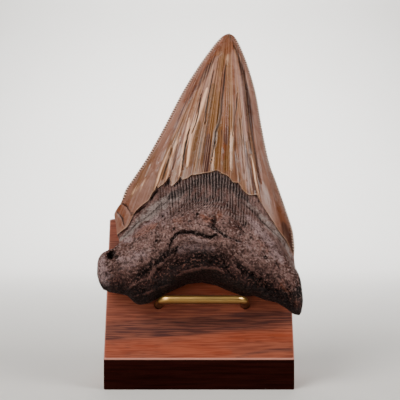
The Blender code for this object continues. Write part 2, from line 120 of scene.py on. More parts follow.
def along(knots, share):
    """Points (p, q) at shares 0 to 1 of the length of a smooth line through the knots."""
    knots = np.array(knots, float)
    run = np.concatenate([[0], np.cumsum(np.hypot(*np.diff(knots, axis=0).T))])
    run /= run[-1]
    return np.stack([through(share, zip(run, knots[:, axis])) for axis in (0, 1)], axis=-1)


print("halfway along a bend:", along(((0, 0), (1, 2), (3, 3)), np.array([0.5])).round(2))

# %% [markdown]
# ## Natural roughness
#
# Bone, wear and sediment are irregular at every size.  Gradient noise gives soft lumps: each corner of a
# square net gets a random slope, and the slopes are blended between the corners.  Scattered pits come from
# one random point in each square: a place is as deep as the deepest hole around it.  Both are worked out
# for all places at once, and their random tables are seeded, so each run gives the same fossil.

# %% Soft lumps
TABLE = 256  # squares after which a random table repeats
FAR_OFF = 1000  # squares, so that their numbers stay positive
LAYER_STRENGTH = 0.55


def lumps(p, q, size, seed):
    """Gradient noise, about -0.7 to 0.7: at the corners of squares of this size, random slopes times the way
    from the corner, blended with 6t^5 - 15t^4 + 10t^3."""
    angles = np.random.default_rng(seed).uniform(0, 2 * math.pi, (TABLE, TABLE))
    x, y = p / size + FAR_OFF, q / size + FAR_OFF
    column, row = np.floor(x).astype(int), np.floor(y).astype(int)
    s, t = x - column, y - row

    def corner(right, up):
        angle = angles[(row + up) % TABLE, (column + right) % TABLE]
        return np.cos(angle) * (s - right) + np.sin(angle) * (t - up)

    blend_s, blend_t = s ** 3 * (s * (6 * s - 15) + 10), t ** 3 * (t * (6 * t - 15) + 10)
    lower = mix(corner(0, 0), corner(1, 0), blend_s)
    upper = mix(corner(0, 1), corner(1, 1), blend_s)
    return mix(lower, upper, blend_t)


def rough(p, q, size, seed, layers=3):
    """Several layers of lumps, each half as large and a little over half as strong as the one before."""
    total = np.zeros_like(p)
    for layer in range(layers):
        total = total + LAYER_STRENGTH ** layer * lumps(p, q, size / 2 ** layer, seed + layer)
    return total


test_p, test_q = np.meshgrid(np.linspace(0, 50, 200), np.linspace(0, 50, 200))
test_lumps = lumps(test_p, test_q, 3.0, 1)
print("lumps reach", test_lumps.min().round(2), "to", test_lumps.max().round(2))


# %% Pits
SPREAD_IN_SQUARE = (0.15, 0.85)
PIT_RADII = (0.16, 0.38)
SMALLEST_RADIUS = 0.01


def pits(p, q, size, seed, share=1.0):
    """Round holes, 0 to 1 deep: exp(-(distance / radius)^2) from one random point in each square, the deepest
    of the nine around a place.  Only a share of the squares has a hole."""
    rng = np.random.default_rng(seed)
    offsets = rng.uniform(*SPREAD_IN_SQUARE, (TABLE, TABLE, 2))
    radii = rng.uniform(*PIT_RADII, (TABLE, TABLE)) * (rng.uniform(0, 1, (TABLE, TABLE)) < share)
    x, y = p / size + FAR_OFF, q / size + FAR_OFF
    column, row = np.floor(x).astype(int), np.floor(y).astype(int)
    deepest = np.zeros_like(p)
    for right in (-1, 0, 1):
        for up in (-1, 0, 1):
            cell = (row + up) % TABLE, (column + right) % TABLE
            to_x = column + right + offsets[cell][..., 0] - x
            to_y = row + up + offsets[cell][..., 1] - y
            radius = radii[cell]
            fall = np.exp(-(to_x ** 2 + to_y ** 2) / np.maximum(radius, SMALLEST_RADIUS) ** 2)
            hole = fall * (radius > 0)
            deepest = np.maximum(deepest, hole)
    return deepest


print("pits cover", round(100 * float((pits(test_p, test_q, 1.9, 31, 0.7) > 0.5).mean())), "% of a face")


# %% Drawn lines and dents
THIN_END = 0.25


def stroke(plane, path, width):
    """1 on a line drawn on the tooth, and exp(-(distance / width)^2) beside it.  The width thins out towards
    both ends, to a quarter."""
    path = np.array(path, float)
    lengths = np.linalg.norm(np.diff(path, axis=0), axis=1)
    passed = np.concatenate([[0], np.cumsum(lengths)]) / lengths.sum()
    nearest, way = np.full(plane.shape[:-1], np.inf), np.zeros(plane.shape[:-1])
    for number, (start, run) in enumerate(zip(path[:-1], np.diff(path, axis=0))):
        share = np.clip(((plane - start) @ run) / (run @ run), 0, 1)
        distance = np.linalg.norm(plane - start - share[..., None] * run, axis=-1)
        way = np.where(distance < nearest, mix(passed[number], passed[number + 1], share), way)
        nearest = np.minimum(nearest, distance)
    thinned = width * mix(THIN_END, 1.0, np.sqrt(np.maximum(np.sin(math.pi * way), 0)))
    return np.exp(-((nearest / thinned) ** 2))


def drawn(plane, lines):
    """All of these (points, width, height) lines, added up."""
    return sum(height * stroke(plane, path, width) for path, width, height in lines)


def dents(plane, spots):
    """All of these (place, width, height) round dents, added up."""
    return sum(height * np.exp(-(np.linalg.norm(plane - np.array(spot), axis=-1) / width) ** 2)
               for spot, width, height in spots)


test_plane = np.stack([test_p, test_q], axis=-1)
print("a line's middle is", drawn(test_plane, [(((5, 5), (45, 45)), 1.0, 2.0)]).max().round(2), "high")

# %% [markdown]
# ## The tooth's outline
#
# A tooth is a natural thing, so no circle or line describes its border.  Five listed curves do: the basal
# edge under the root, the root's two flanks, and the crown's two cutting edges.  A sixth, the lower margin of
# the enamel, divides root from crown.  It is ragged, because strips of enamel have splintered off.

# %% Border curves of the tooth, in millimetres on the slope
TIP = (12.9, 139.0)
BASE_EDGE = (
    (-36.4, 25.0), (-32.6, 23.7), (-28.2, 23.3), (-26.1, 21.8), (-24.5, 20.1), (-22.2, 19.2),
    (-19.6, 19.6), (-17.7, 20.9), (-15.7, 22.2), (-14.0, 22.8), (-8.0, 25.8), (-4.9, 27.2),
    (-1.9, 27.8), (1.5, 28.0), (4.9, 27.4), (8.0, 26.2), (14.0, 23.6), (16.7, 22.7),
    (18.4, 22.5), (20.4, 22.9), (24.9, 21.2), (29.6, 20.1), (32.4, 18.3), (35.6, 15.6),
    (37.6, 15.2), (38.5, 16.4),
)
LEFT_FLANK = (
    (-36.4, 25.0), (-38.2, 28.2), (-39.1, 31.8), (-39.1, 35.5), (-38.3, 38.0), (-36.7, 39.5),
    (-34.4, 40.0), (-32.7, 40.5), (-31.5, 42.4), (-31.3, 44.7), (-32.4, 47.9),
)
RIGHT_FLANK = ((38.5, 16.4), (39.3, 21.0), (39.0, 26.8), (38.4, 30.7), (37.4, 34.6), (37.1, 38.9))
ENAMEL_MARGIN = (
    (-32.4, 47.9), (-31.0, 48.8), (-28.6, 50.2), (-27.7, 51.2), (-27.0, 52.6), (-25.9, 55.1),
    (-24.7, 56.6), (-23.1, 57.8), (-21.5, 59.0), (-19.9, 59.8), (-19.2, 61.0), (-18.4, 62.9),
    (-17.4, 63.9), (-16.6, 65.6), (-16.3, 64.5), (-14.1, 65.8), (-12.9, 66.9), (-11.5, 69.3),
    (-11.1, 65.3), (-10.7, 64.4), (-9.4, 65.6), (-8.2, 66.9), (-7.0, 68.5), (-6.6, 66.8),
    (-4.3, 67.5), (-3.1, 68.6), (-0.8, 68.7), (0.8, 68.9), (3.9, 69.5), (6.6, 70.4), (7.8, 70.0),
    (9.0, 69.0), (10.5, 68.5), (11.7, 67.7), (13.2, 65.5), (15.2, 65.4), (16.0, 64.3),
    (16.7, 62.7), (17.9, 61.5), (19.0, 60.6), (20.6, 60.6), (22.6, 61.0), (23.0, 60.0),
    (23.8, 58.5), (26.1, 54.7), (28.4, 51.3), (30.7, 48.0), (33.9, 44.8), (35.4, 42.2), (37.1, 38.9),
)
LEFT_EDGE = (
    (-32.4, 47.9), (-33.0, 52.6), (-33.8, 56.1), (-32.8, 58.8), (-31.4, 61.1), (-29.7, 66.6),
    (-27.1, 71.0), (-21.9, 79.7), (-15.2, 93.1), (-6.6, 111.7), (-1.3, 121.3), (4.8, 131.1),
    (8.8, 136.5), (11.3, 138.6), TIP,
)
RIGHT_EDGE = (
    (37.1, 38.9), (37.5, 42.8), (37.3, 47.3), (34.7, 58.1), (30.9, 71.0), (28.9, 77.5),
    (26.1, 94.1), (24.1, 109.4), (20.8, 123.7), (18.6, 130.6), (16.9, 135.0), (14.8, 138.2), TIP,
)


def base_edge(u):
    """The basal edge, from the left lobe at u = 0 to the right one at u = 1."""
    p = mix(BASE_EDGE[0][0], BASE_EDGE[-1][0], u)
    return np.stack([p, through(p, BASE_EDGE)], axis=-1)


def enamel_margin(u):
    """The enamel's lower margin, straight between its knots, so its splinters stay sharp."""
    p = mix(ENAMEL_MARGIN[0][0], ENAMEL_MARGIN[-1][0], u)
    ps, qs = np.array(ENAMEL_MARGIN).T
    return np.stack([p, np.interp(p, ps, qs)], axis=-1)


def patch(u, v, bottom, top, left, right):
    """A surface between four borders: the mix across plus the mix up, less the corners counted twice."""
    u, v = u[..., None], v[..., None]
    across = mix(left, right, u)
    up = mix(bottom, top, v)
    corners = mix(mix(left[:1, :1], right[:1, :1], u), mix(left[-1:, -1:], right[-1:, -1:], u), v)
    return across + up - corners


print("from the basal edge to the tip:", round(TIP[1] - min(q for p, q in BASE_EDGE), 1), "mm")

# %% [markdown]
# ## The tooth's form
#
# The two faces are height fields over one drawing: the front bulges away from the wood and the back lies
# nearly flat on it, and they share their border.  The crown's section is a lens with a bevel along each
# cutting edge.  The root is plump, and swells towards its lobes and to a crest under the crown.  A height
# field was chosen over sculpting because every height here is a millimetre that can be read and changed.

# %% Heights of the front and back faces
EDGE_HEIGHT = 3.6
TIP_HEIGHT = 4.6
ROOT_RIM = 7.0
MARGIN_HEIGHT = 16.0
ENAMEL_LIP = 0.8
BACK_GAP = 0.45
LIP_FADE = (0, 0.04)  # the lip dies out towards both flanks
CROWN_MIDDLE = ((0.0, 1.0), (0.2, 0.93), (0.45, 0.76), (0.7, 0.52), (0.88, 0.27), (0.96, 0.12), (1.0, 0.0))
CROWN_ACROSS = (
    (0.0, 0.0), (0.06, 0.21), (0.125, 0.42), (0.3, 0.82), (0.5, 1.0), (0.7, 0.93),
    (0.87, 0.57), (0.9, 0.42), (1.0, 0.0),
)
BEVEL_LINES = (0.125, 0.88)
LEFT_BEVEL = ((0.0, 0.14), (0.55, 0.12), (0.78, 0.17), (0.86, 0.25), (0.94, 0.4), (1.0, 0.48))
RIGHT_BEVEL = ((0.0, 0.9), (0.6, 0.9), (0.86, 0.87), (0.95, 0.7), (1.0, 0.52))
BACK_ALONG = ((0.0, 1.0), (0.55, 1.0), (0.85, 0.7), (0.95, 0.35), (1.0, 0.0))
ROOT_MIDDLE = ((0.0, 15.5), (0.1, 16.6), (0.25, 18.8), (0.38, 21.8), (0.6, 20.0), (0.8, 17.6), (1.0, 15.6))
ROOT_LOBES = ((0.0, 9.5), (0.1, 10.8), (0.28, 13.8), (0.5, 13.4), (0.75, 12.5), (1.0, 11.0))
ROOT_ROUNDING = 5.0
MIDDLE_SPREAD = 0.27  # share of the width over which the middle's profile gives way to the lobes'
FLANK_FADE = 5  # the root's front stays full this sharply towards its flanks
NECK_RISE = (0.5, 1.0)  # the root's front turns into the crown's between these shares of the way up
RIM_FALL = (0.6, 1.0)  # its border comes down to the cutting edges between these
BACK_FLATNESS = (6, 0.7)
print("the enamel stands", ENAMEL_LIP, "mm above the neck")


# %% The crown's two faces
def crown_across(u, w):
    """The front's height across the crown as a share of its middle height.  Between the lines where the
    bevels end, u is stretched so that the lines stay on the section's own corners."""
    left = through(w, LEFT_BEVEL)
    right = through(w, RIGHT_BEVEL)
    low = u / left * BEVEL_LINES[0]
    middle = mix(BEVEL_LINES[0], BEVEL_LINES[1], (u - left) / (right - left))
    high = mix(BEVEL_LINES[1], 1, (u - right) / (1 - right))
    return through(np.where(u < left, low, np.where(u > right, high, middle)), CROWN_ACROSS)


def back_across(u):
    """The back's flatness: (1 - |2u - 1|^6)^0.7, which is nearly 1 but for the borders."""
    sharp, soft = BACK_FLATNESS
    return (1 - np.abs(2 * u - 1) ** sharp) ** soft


def crown_sheets(u, w):
    """Places, front heights and back heights of the crown: the cutting edge's height plus the middle's rise
    along the crown times the section across it."""
    margin = enamel_margin(u)
    tip = np.broadcast_to(np.array(TIP, float), margin.shape)
    plane = patch(u, w, margin, tip, along(LEFT_EDGE, w), along(RIGHT_EDGE, w))
    edge = mix(EDGE_HEIGHT, TIP_HEIGHT, w)
    rise = (MARGIN_HEIGHT - EDGE_HEIGHT) * through(w, CROWN_MIDDLE)
    front = edge + rise * crown_across(u, w)
    back = edge - (edge - BACK_GAP) * back_across(u) * through(w, BACK_ALONG)
    return plane, front, back


print("the crown is", MARGIN_HEIGHT - BACK_GAP, "mm thick where it leaves the root")


# %% The root's two faces
def rounding(distance, reach):
    """A quarter circle: 0 at the border, 1 from the reach inwards."""
    return np.sqrt(1 - (1 - np.clip(distance / reach, 0, 1)) ** 2)


def root_sheets(u, v):
    """The same for the root: the lobes' profile mixed into the middle's by a bell across the root, rounded
    to its rim, and drawn up to the enamel's height, less the lip, at the margin."""
    base = base_edge(u)
    margin = enamel_margin(u)
    plane = patch(u, v, base, margin, along(LEFT_FLANK, v), along(RIGHT_FLANK, v))
    reach_in = v * (margin[..., 1] - base[..., 1])
    rim = mix(ROOT_RIM, EDGE_HEIGHT, smooth_step(v, *RIM_FALL))
    middle = np.exp(-(((u - 0.5) / MIDDLE_SPREAD) ** 2))
    full = mix(through(v, ROOT_LOBES), through(v, ROOT_MIDDLE), middle)
    plump = np.sqrt(1 - np.abs(2 * u - 1) ** FLANK_FADE)
    front = rim + (full - rim) * plump * rounding(reach_in, ROOT_ROUNDING)
    lip = ENAMEL_LIP * smooth_step(np.minimum(u, 1 - u), *LIP_FADE)
    neck = EDGE_HEIGHT + (MARGIN_HEIGHT - EDGE_HEIGHT) * crown_across(u, np.zeros_like(v)) - lip
    front = mix(front, neck, smooth_step(v, *NECK_RISE))
    back = rim - (rim - BACK_GAP) * back_across(u) * rounding(reach_in, ROOT_ROUNDING)
    return plane, front, back


print("the root's middle reaches", max(height for share, height in ROOT_MIDDLE), "mm over the wood")

# %% [markdown]
# ## Relief
#
# What makes this one tooth is its damage: a cracked ledge over a porous hollow, ridges along the lobes, a
# chipped notch, splinters along the enamel, and long cracks that run to the tip.  Each is a line of a few
# points with a half width and a height in millimetres, so a crack is moved by moving its points.

# %% Lines of relief on the root
ROOT_LINES = (
    # The ledge: its crack in two stretches, and the light brow under it.
    (((-11.0, 38.6), (-10.5, 40.0), (-9.6, 41.4), (-8.7, 42.5), (-7.6, 43.3), (-6.0, 43.6), (-2.4, 43.5),
      (0.0, 42.8), (2.1, 42.1), (4.1, 41.7), (5.6, 42.1), (6.8, 42.9)), 0.6, -1.7),
    (((2.8, 45.9), (4.8, 45.2), (6.8, 44.0), (8.4, 43.3), (9.5, 42.2), (13.0, 41.4), (14.5, 40.7),
      (16.0, 40.6)), 0.45, -0.9),
    (((-10.5, 37.8), (-6.0, 41.0), (-2.4, 41.2), (4.1, 39.8), (9.5, 40.0), (13.0, 38.8)), 1.0, 0.8),
    (((-25.7, 30.4), (-22.1, 32.0), (-18.2, 34.4), (-14.5, 37.4), (-11.0, 40.4)), 1.1, 0.5),
    (((15.3, 40.0), (19.0, 37.8), (22.9, 34.4), (26.5, 30.8)), 1.1, 0.5),
    # Ridges between and below them.
    (((-8.5, 28.4), (-6.6, 29.2), (-4.7, 29.9), (-1.6, 30.7), (1.8, 31.2), (4.9, 31.2), (7.2, 30.5),
      (9.6, 29.2)), 0.55, 1.3),
    (((-25.8, 24.7), (-21.2, 26.8), (-18.7, 27.5), (-17.4, 29.6), (-16.4, 31.2), (-14.7, 32.2),
      (-12.1, 34.4), (-9.4, 36.0)), 0.55, 1.1),
    (((12.7, 36.6), (15.4, 34.5), (17.6, 32.2), (19.9, 30.6), (23.0, 28.4)), 0.55, 1.1),
    (((-24.0, 21.6), (-20.2, 22.0), (-16.6, 23.6), (-13.4, 24.8), (-10.8, 25.9)), 0.55, 1.1),
    (((27.5, 29.0), (30.5, 26.5), (32.6, 24.4), (33.4, 21.9)), 0.6, 0.7),
    (((9.0, 40.0), (10.0, 38.0), (11.6, 35.6), (12.6, 32.8), (14.4, 30.6), (16.0, 28.0)), 0.5, 0.8),
    (((-4.0, 38.6), (-1.0, 37.6), (1.6, 38.4)), 0.5, 0.6),
    # Cracks.
    (((8.9, 36.3), (9.4, 33.8), (9.9, 32.0), (11.0, 30.4), (12.2, 28.5), (13.7, 27.2)), 0.45, -1.1),
    (((14.7, 45.2), (15.6, 46.2), (17.5, 48.2), (18.7, 49.4)), 0.35, -0.7),
    (((14.2, 47.8), (15.4, 46.0), (17.9, 44.0)), 0.35, -0.6),
    (((4.2, 48.6), (5.6, 47.4), (5.2, 46.0), (7.0, 44.4)), 0.45, -1.0),
    (((30.8, 28.6), (32.6, 26.5), (34.2, 24.0), (34.0, 21.0)), 0.4, -0.6),
    (((25.5, 39.5), (27.8, 36.0), (30.0, 31.5)), 0.4, -0.5),
    (((-30.0, 43.5), (-27.0, 45.4), (-24.8, 46.0)), 0.5, -0.6),
    # The chipped notch on the left lobe.
    (((-33.9, 38.6), (-33.4, 37.2), (-33.0, 36.0)), 1.2, -4.4),
    (((-31.4, 36.8), (-30.8, 35.6)), 0.9, -1.0),
    # Grooves along the lower side of the neck.
    (((-31.0, 45.6), (-26.8, 49.2), (-24.4, 51.4), (-21.8, 52.4), (-19.0, 54.4), (-15.9, 56.5),
      (-11.1, 59.0), (-5.4, 61.8)), 0.5, -0.6),
    (((15.7, 58.2), (19.6, 55.2), (21.8, 53.1), (24.3, 50.4), (28.8, 46.6), (31.9, 44.6)), 0.5, -0.6),
    # Gaps under the splintered strips.
    (((-25.5, 55.2), (-22.8, 57.2), (-20.0, 59.0)), 0.4, -0.7),
    (((-19.0, 60.2), (-17.6, 62.6), (-16.2, 63.8)), 0.55, -1.1),
    (((-13.6, 65.2), (-12.2, 66.6), (-11.2, 68.0)), 0.5, -1.0),
    (((-9.6, 64.8), (-8.0, 66.2), (-6.9, 67.4)), 0.45, -0.8),
)
ROOT_HOLLOWS = (
    (((-15.0, 31.0), (-7.0, 35.2), (2.0, 36.2), (10.0, 34.0)), 3.2, -1.7),
    (((-27.0, 27.6), (-22.0, 29.4), (-18.5, 31.0)), 1.8, -0.9),
    (((16.0, 31.5), (21.0, 27.5), (27.0, 24.6)), 2.0, -1.0),
)
ROOT_HOLES = (
    ((24.8, 35.6), 0.8, -1.1), ((20.3, 29.6), 0.9, -1.1), ((-13.7, 51.4), 0.7, -0.9),
    ((-6.4, 50.6), 0.6, -0.8), ((-3.6, 47.8), 0.7, -0.9), ((-0.6, 50.7), 0.5, -0.7),
    ((5.8, 48.4), 0.9, -0.9), ((-9.4, 45.0), 0.6, -0.7), ((11.5, 48.0), 0.5, -0.6),
    ((-18.0, 44.7), 0.5, -0.6), ((6.4, 51.5), 0.8, -0.8), ((33.0, 24.0), 1.0, -0.7),
    ((-27.5, 38.0), 0.6, -0.5), ((19.5, 43.0), 0.6, -0.6), ((29.0, 36.0), 0.6, -0.6),
    ((-16.0, 41.0), 0.7, -0.7), ((-21.0, 37.0), 0.6, -0.6), ((9.0, 46.5), 0.6, -0.7),
    ((-24.5, 42.0), 0.5, -0.5), ((15.5, 43.5), 0.6, -0.7),
)
print(len(ROOT_LINES), "lines,", len(ROOT_HOLLOWS), "hollows and", len(ROOT_HOLES), "holes on the root")

# %% Lines of relief on the crown
# Cracks and splinters of the crown: points, half width, and a share from 0 to 1 that stands for depth,
# height and strength of colour alike.
CROWN_CRACKS = (
    (((6.2, 117.4), (4.5, 108.1), (3.7, 103.4), (2.8, 96.6), (2.4, 90.8)), 0.35, 1.0),
    (((0.8, 105.7), (0.2, 100.6), (-0.4, 95.6), (-1.4, 91.2), (-2.8, 86.7)), 0.35, 1.0),
    (((-3.6, 90.4), (-5.2, 82.8), (-6.0, 77.6), (-6.7, 70.7)), 0.45, 1.0),
    (((11.7, 122.6), (10.8, 116.9), (10.3, 111.2), (9.4, 102.9), (8.9, 96.1), (8.1, 91.2), (6.6, 87.2),
      (6.0, 81.5), (4.7, 73.3)), 0.38, 0.95),
    (((16.0, 106.7), (15.0, 98.4), (13.9, 91.2), (13.2, 85.0)), 0.38, 0.9),
    (((16.5, 94.4), (17.2, 84.5), (17.3, 73.7), (18.0, 66.5)), 0.3, 0.8),
    (((-8.0, 85.0), (-9.4, 78.0), (-10.6, 71.0)), 0.35, 0.8),
    (((-11.0, 81.0), (-12.6, 74.0), (-14.4, 67.5)), 0.35, 0.8),
    (((-30.8, 60.8), (-28.4, 58.6), (-26.8, 55.7), (-25.9, 55.1)), 0.35, 1.0),
    (((-32.6, 57.2), (-30.3, 54.2), (-29.4, 50.9)), 0.35, 1.0),
    (((9.6, 82.0), (9.4, 75.0), (9.3, 68.0)), 0.3, 0.6),
    (((14.6, 80.0), (15.2, 72.0), (15.8, 65.5)), 0.3, 0.7),
    (((19.4, 78.0), (20.2, 70.0), (21.0, 62.5)), 0.3, 0.7),
)
SPLINTERS = (
    # Two long ones left of the middle, then short ones towards the left bevel.
    (((3.3, 108.4), (2.4, 104.7), (1.2, 100.2), (-0.8, 93.9), (-2.4, 89.4), (-3.4, 85.9), (-4.0, 80.6),
      (-4.6, 72.0)), 1.0, 1.0),
    (((6.3, 121.5), (5.2, 115.7), (4.3, 110.1), (3.4, 103.4)), 0.7, 0.6),
    (((-3.9, 94.9), (-5.6, 84.5), (-6.7, 75.8), (-7.7, 68.0)), 0.6, 1.0),
    (((-7.4, 87.0), (-9.9, 79.3), (-12.2, 69.9), (-13.6, 65.0)), 0.6, 1.0),
    (((-11.0, 82.6), (-15.4, 69.9), (-17.8, 61.5)), 0.6, 1.0),
    # Thin lines on the right half.
    (((5.9, 80.8), (5.5, 74.6), (5.2, 69.0)), 0.5, 0.9),
    (((15.2, 101.3), (14.1, 91.6), (12.8, 84.0), (12.4, 77.1), (12.5, 70.2)), 0.6, 0.75),
    (((17.2, 104.9), (17.3, 91.6), (17.5, 80.6), (18.7, 66.6)), 0.6, 0.5),
    (((20.6, 78.1), (22.0, 67.7), (23.8, 58.2)), 0.45, 0.9),
    (((12.2, 126.0), (11.6, 120.0)), 0.5, 0.8),
)


def rescaled(lines, widen, height):
    """The same lines with their half widths multiplied, and their shares turned into heights."""
    return tuple((points, widen * width, height * share) for points, width, share in lines)


CROWN_LINES = (
    # The bevels: a groove inside the right one, a low ridge inside the left one.
    (((14.9, 131.4), (16.5, 127.0), (17.9, 122.5), (18.9, 118.0), (20.2, 110.0), (20.6, 97.1),
      (22.2, 83.4), (23.4, 74.3), (24.2, 66.0)), 0.8, -0.9),
    (((10.0, 127.5), (5.4, 121.2), (0.4, 113.2), (-3.8, 104.6), (-7.8, 96.9), (-11.6, 85.0)), 1.0, 0.35),
) + rescaled(CROWN_CRACKS, 1.2, -0.55) + rescaled(SPLINTERS, 0.8, 0.45)
print(len(CROWN_CRACKS), "cracks and", len(SPLINTERS), "splinters on the crown")

# %% Relief of the root
POROUS_LINES = (
    (((-24.0, 28.0), (-18.0, 31.0), (-12.0, 35.5), (-6.0, 37.0)), 3.6, 1.0),
    (((-9.0, 33.0), (0.0, 35.5), (8.0, 34.0), (14.0, 32.5)), 4.4, 1.0),
    (((14.0, 33.0), (20.0, 28.0), (27.0, 24.0), (35.0, 19.0)), 4.0, 1.0),
    (((-30.0, 25.0), (-22.0, 23.0), (-14.0, 26.0)), 3.2, 0.9),
)
# Lumps: size, seed, height, and what the open bone adds.  Pits: also the share of squares with a pit.
BONE_LUMPS = ((6.0, 11, 0.45, 0.0), (2.0, 21, 0.3, 0.34))
BONE_PITS = ((1.9, 31, 0.7, 0.22, 0.5), (1.1, 32, 0.8, 0.2, 0.4))
NECK_CALM = (0.74, 0.88)
NECK_SMOOTHNESS = 0.8
FRAYED_BY = 0.3
RIB_SPACING = 1.12
RIB_MIDDLE = (4.0, 60.0)
RIB_FAN, RIB_FAN_LENGTH = 0.16, 30.0
RIB_WANDER = 1.6
RIB_START = (0.5, 0.66)
RIB_BAND_MIDDLE, RIB_BAND_REACH = 3.0, 19.0
RIB_HEIGHT = 0.28


def porous(plane):
    """How open the bone is, 0 to 1: most in the hollows under the ledge."""
    return np.clip(drawn(plane, POROUS_LINES), 0, 1)


def neck_ribs(plane, v):
    """Fine upright ribs on the neck, -1 to 1: a sine across it, bent by lumps, that fades to both sides."""
    p, q = plane[..., 0], plane[..., 1]
    fanned = p - RIB_FAN * (q - RIB_MIDDLE[1]) * (p - RIB_MIDDLE[0]) / RIB_FAN_LENGTH
    wave = np.sin(2 * math.pi * fanned / RIB_SPACING + RIB_WANDER * lumps(p, q, 5.0, 41))
    band = np.exp(-(((p - RIB_BAND_MIDDLE) / RIB_BAND_REACH) ** 4))
    return wave * smooth_step(v, *RIB_START) * band


def root_inside(u, v):
    """0 at the root's border, and 1 a little way in."""
    return smooth_step(np.minimum(u, 1 - u), 0, 0.04) * smooth_step(v, 0, 0.06)


def root_grain(plane, u, v):
    """Drawn lines and holes, with edges that small lumps fray, then lumps, grain and pits that are strongest
    in the porous hollow, then the neck's ribs.  All of it fades out at the border."""
    p, q = plane[..., 0], plane[..., 1]
    low = porous(plane)
    on_neck = smooth_step(v, *NECK_CALM)
    body = sum((base + more * low) * rough(p, q, size, seed) for size, seed, base, more in BONE_LUMPS)
    body -= sum((base + more * low) * pits(p, q, size, seed, share)
                for size, seed, share, base, more in BONE_PITS)
    frayed = plane + FRAYED_BY * np.stack([rough(p, q, 1.6, 61, 2), rough(p, q, 1.6, 62, 2)], axis=-1)
    relief = drawn(frayed, ROOT_LINES) + dents(frayed, ROOT_HOLES) + body * (1 - NECK_SMOOTHNESS * on_neck)
    return root_inside(u, v) * (relief + RIB_HEIGHT * neck_ribs(plane, v))


def root_relief(plane, u, v):
    """The grain and the wide hollows under the brow."""
    return root_grain(plane, u, v) + root_inside(u, v) * drawn(plane, ROOT_HOLLOWS)


print("bone, pits and", round(2 * RIB_BAND_REACH / RIB_SPACING), "ribs or so on the neck")


# %% Relief of the crown
FAN_APEX = (14.0, 163.5)
CROWN_STREAKS = ((95, 1.2, 51, 0.14), (26, 0.9, 52, 0.2))  # streaks across, along, seed, height
BORDER_FADE = (0, 0.05)
TIP_FADE = (0.92, 0.985)


def fanned_out(plane):
    """Which streak of the crown a point lies on: the slope of its line to the fan's apex, above the tip."""
    return (plane[..., 0] - FAN_APEX[0]) / (FAN_APEX[1] - plane[..., 1])


def crown_relief(plane, u, w):
    """Drawn lines, and very low streaks that fan out from above the tip: lumps squeezed across the fan."""
    fan = fanned_out(plane)
    streaks = sum(height * rough(fan * across, w * up, 1.0, seed, 2)
                  for across, up, seed, height in CROWN_STREAKS)
    inside = smooth_step(np.minimum(u, 1 - u), *BORDER_FADE) * (1 - smooth_step(w, *TIP_FADE))
    return inside * (drawn(plane, CROWN_LINES) + streaks)


print(len(CROWN_LINES), "lines on the crown, and streaks that fan out from", FAN_APEX)

# %% [markdown]
# ## The tooth's mesh
#
# Rows run from the basal edge to the tip and columns from left to right.  The front has many columns and the
# back a tenth as many, because the back is smooth, and both share the same rim.  Four rows to a serration
# let the rim step out and in along both cutting edges.  At the enamel's margin the front has two rows in the
# same place at two heights, which makes the enamel's broken lip.

# %% Serrations
SERRATIONS = 92
SERRATION_DEPTH = 0.42
SERRATION_REACH = 1.5
SERRATION_RISE = 0.14
HEADING_STEP = 0.004  # share of a cutting edge over which its direction is read
WORN_TIP = (0.92, 0.98)
CHIPPED_LEFT = (0.12, 0.17)
WHOLE_RIGHT = (0.0, 0.03)


def serrate(plane, u, w):
    """Moves the crown's border in and out by -cos of the way along it, square to the edge and less and less
    inwards.  Also gives that way, counted in serrations, and how much of a serration is left, 0 to 1."""
    worn = 1 - smooth_step(w, *WORN_TIP)
    moved, count, left_over = plane, np.zeros_like(u), np.zeros_like(u)
    for edge, outward, intact, nearer in (
        (LEFT_EDGE, -1, smooth_step(w, *CHIPPED_LEFT), u < 0.5),
        (RIGHT_EDGE, 1, smooth_step(w, *WHOLE_RIGHT), u >= 0.5),
    ):
        length = np.hypot(*np.diff(np.array(edge), axis=0).T).sum()
        heading = along(edge, np.minimum(w + HEADING_STEP, 1)) - along(edge, np.maximum(w - HEADING_STEP, 0))
        heading /= np.linalg.norm(heading, axis=-1, keepdims=True)
        normal = np.stack([heading[..., 1], -heading[..., 0]], axis=-1) * outward
        inside = plane - along(edge, w)
        way = SERRATIONS * (w + (inside * heading).sum(axis=-1) / length)
        reach = worn * intact * nearer * np.clip(1 + (inside * normal).sum(axis=-1) / SERRATION_REACH, 0, 1)
        moved = moved - normal * (0.5 * SERRATION_DEPTH * np.cos(2 * math.pi * way) * reach)[..., None]
        count, left_over = np.where(nearer, way, count), left_over + reach
    return moved, count, left_over


edge_length = np.hypot(*np.diff(np.array(LEFT_EDGE), axis=0).T).sum()
print("a serration every", round(edge_length / SERRATIONS, 2), "mm")

# %% Rows and columns
FRONT_COLUMNS, BACK_COLUMNS = 180, 18
ROOT_ROWS, CROWN_ROWS = 110, 4 * SERRATIONS
COLUMN_CROWDING = 0.45  # how far the columns crowd towards both borders, 0 to 1
ROOT_ROW_CROWDING = 1.35  # power that crowds the root's rows towards the basal edge
RISE_STARTS = (0, 0.01)


def spread(count):
    """Shares 0 to 1 that crowd towards both ends: between even steps and cosine steps."""
    even = np.linspace(0, 1, count + 1)
    return mix(even, 0.5 - 0.5 * np.cos(math.pi * even), COLUMN_CROWDING)


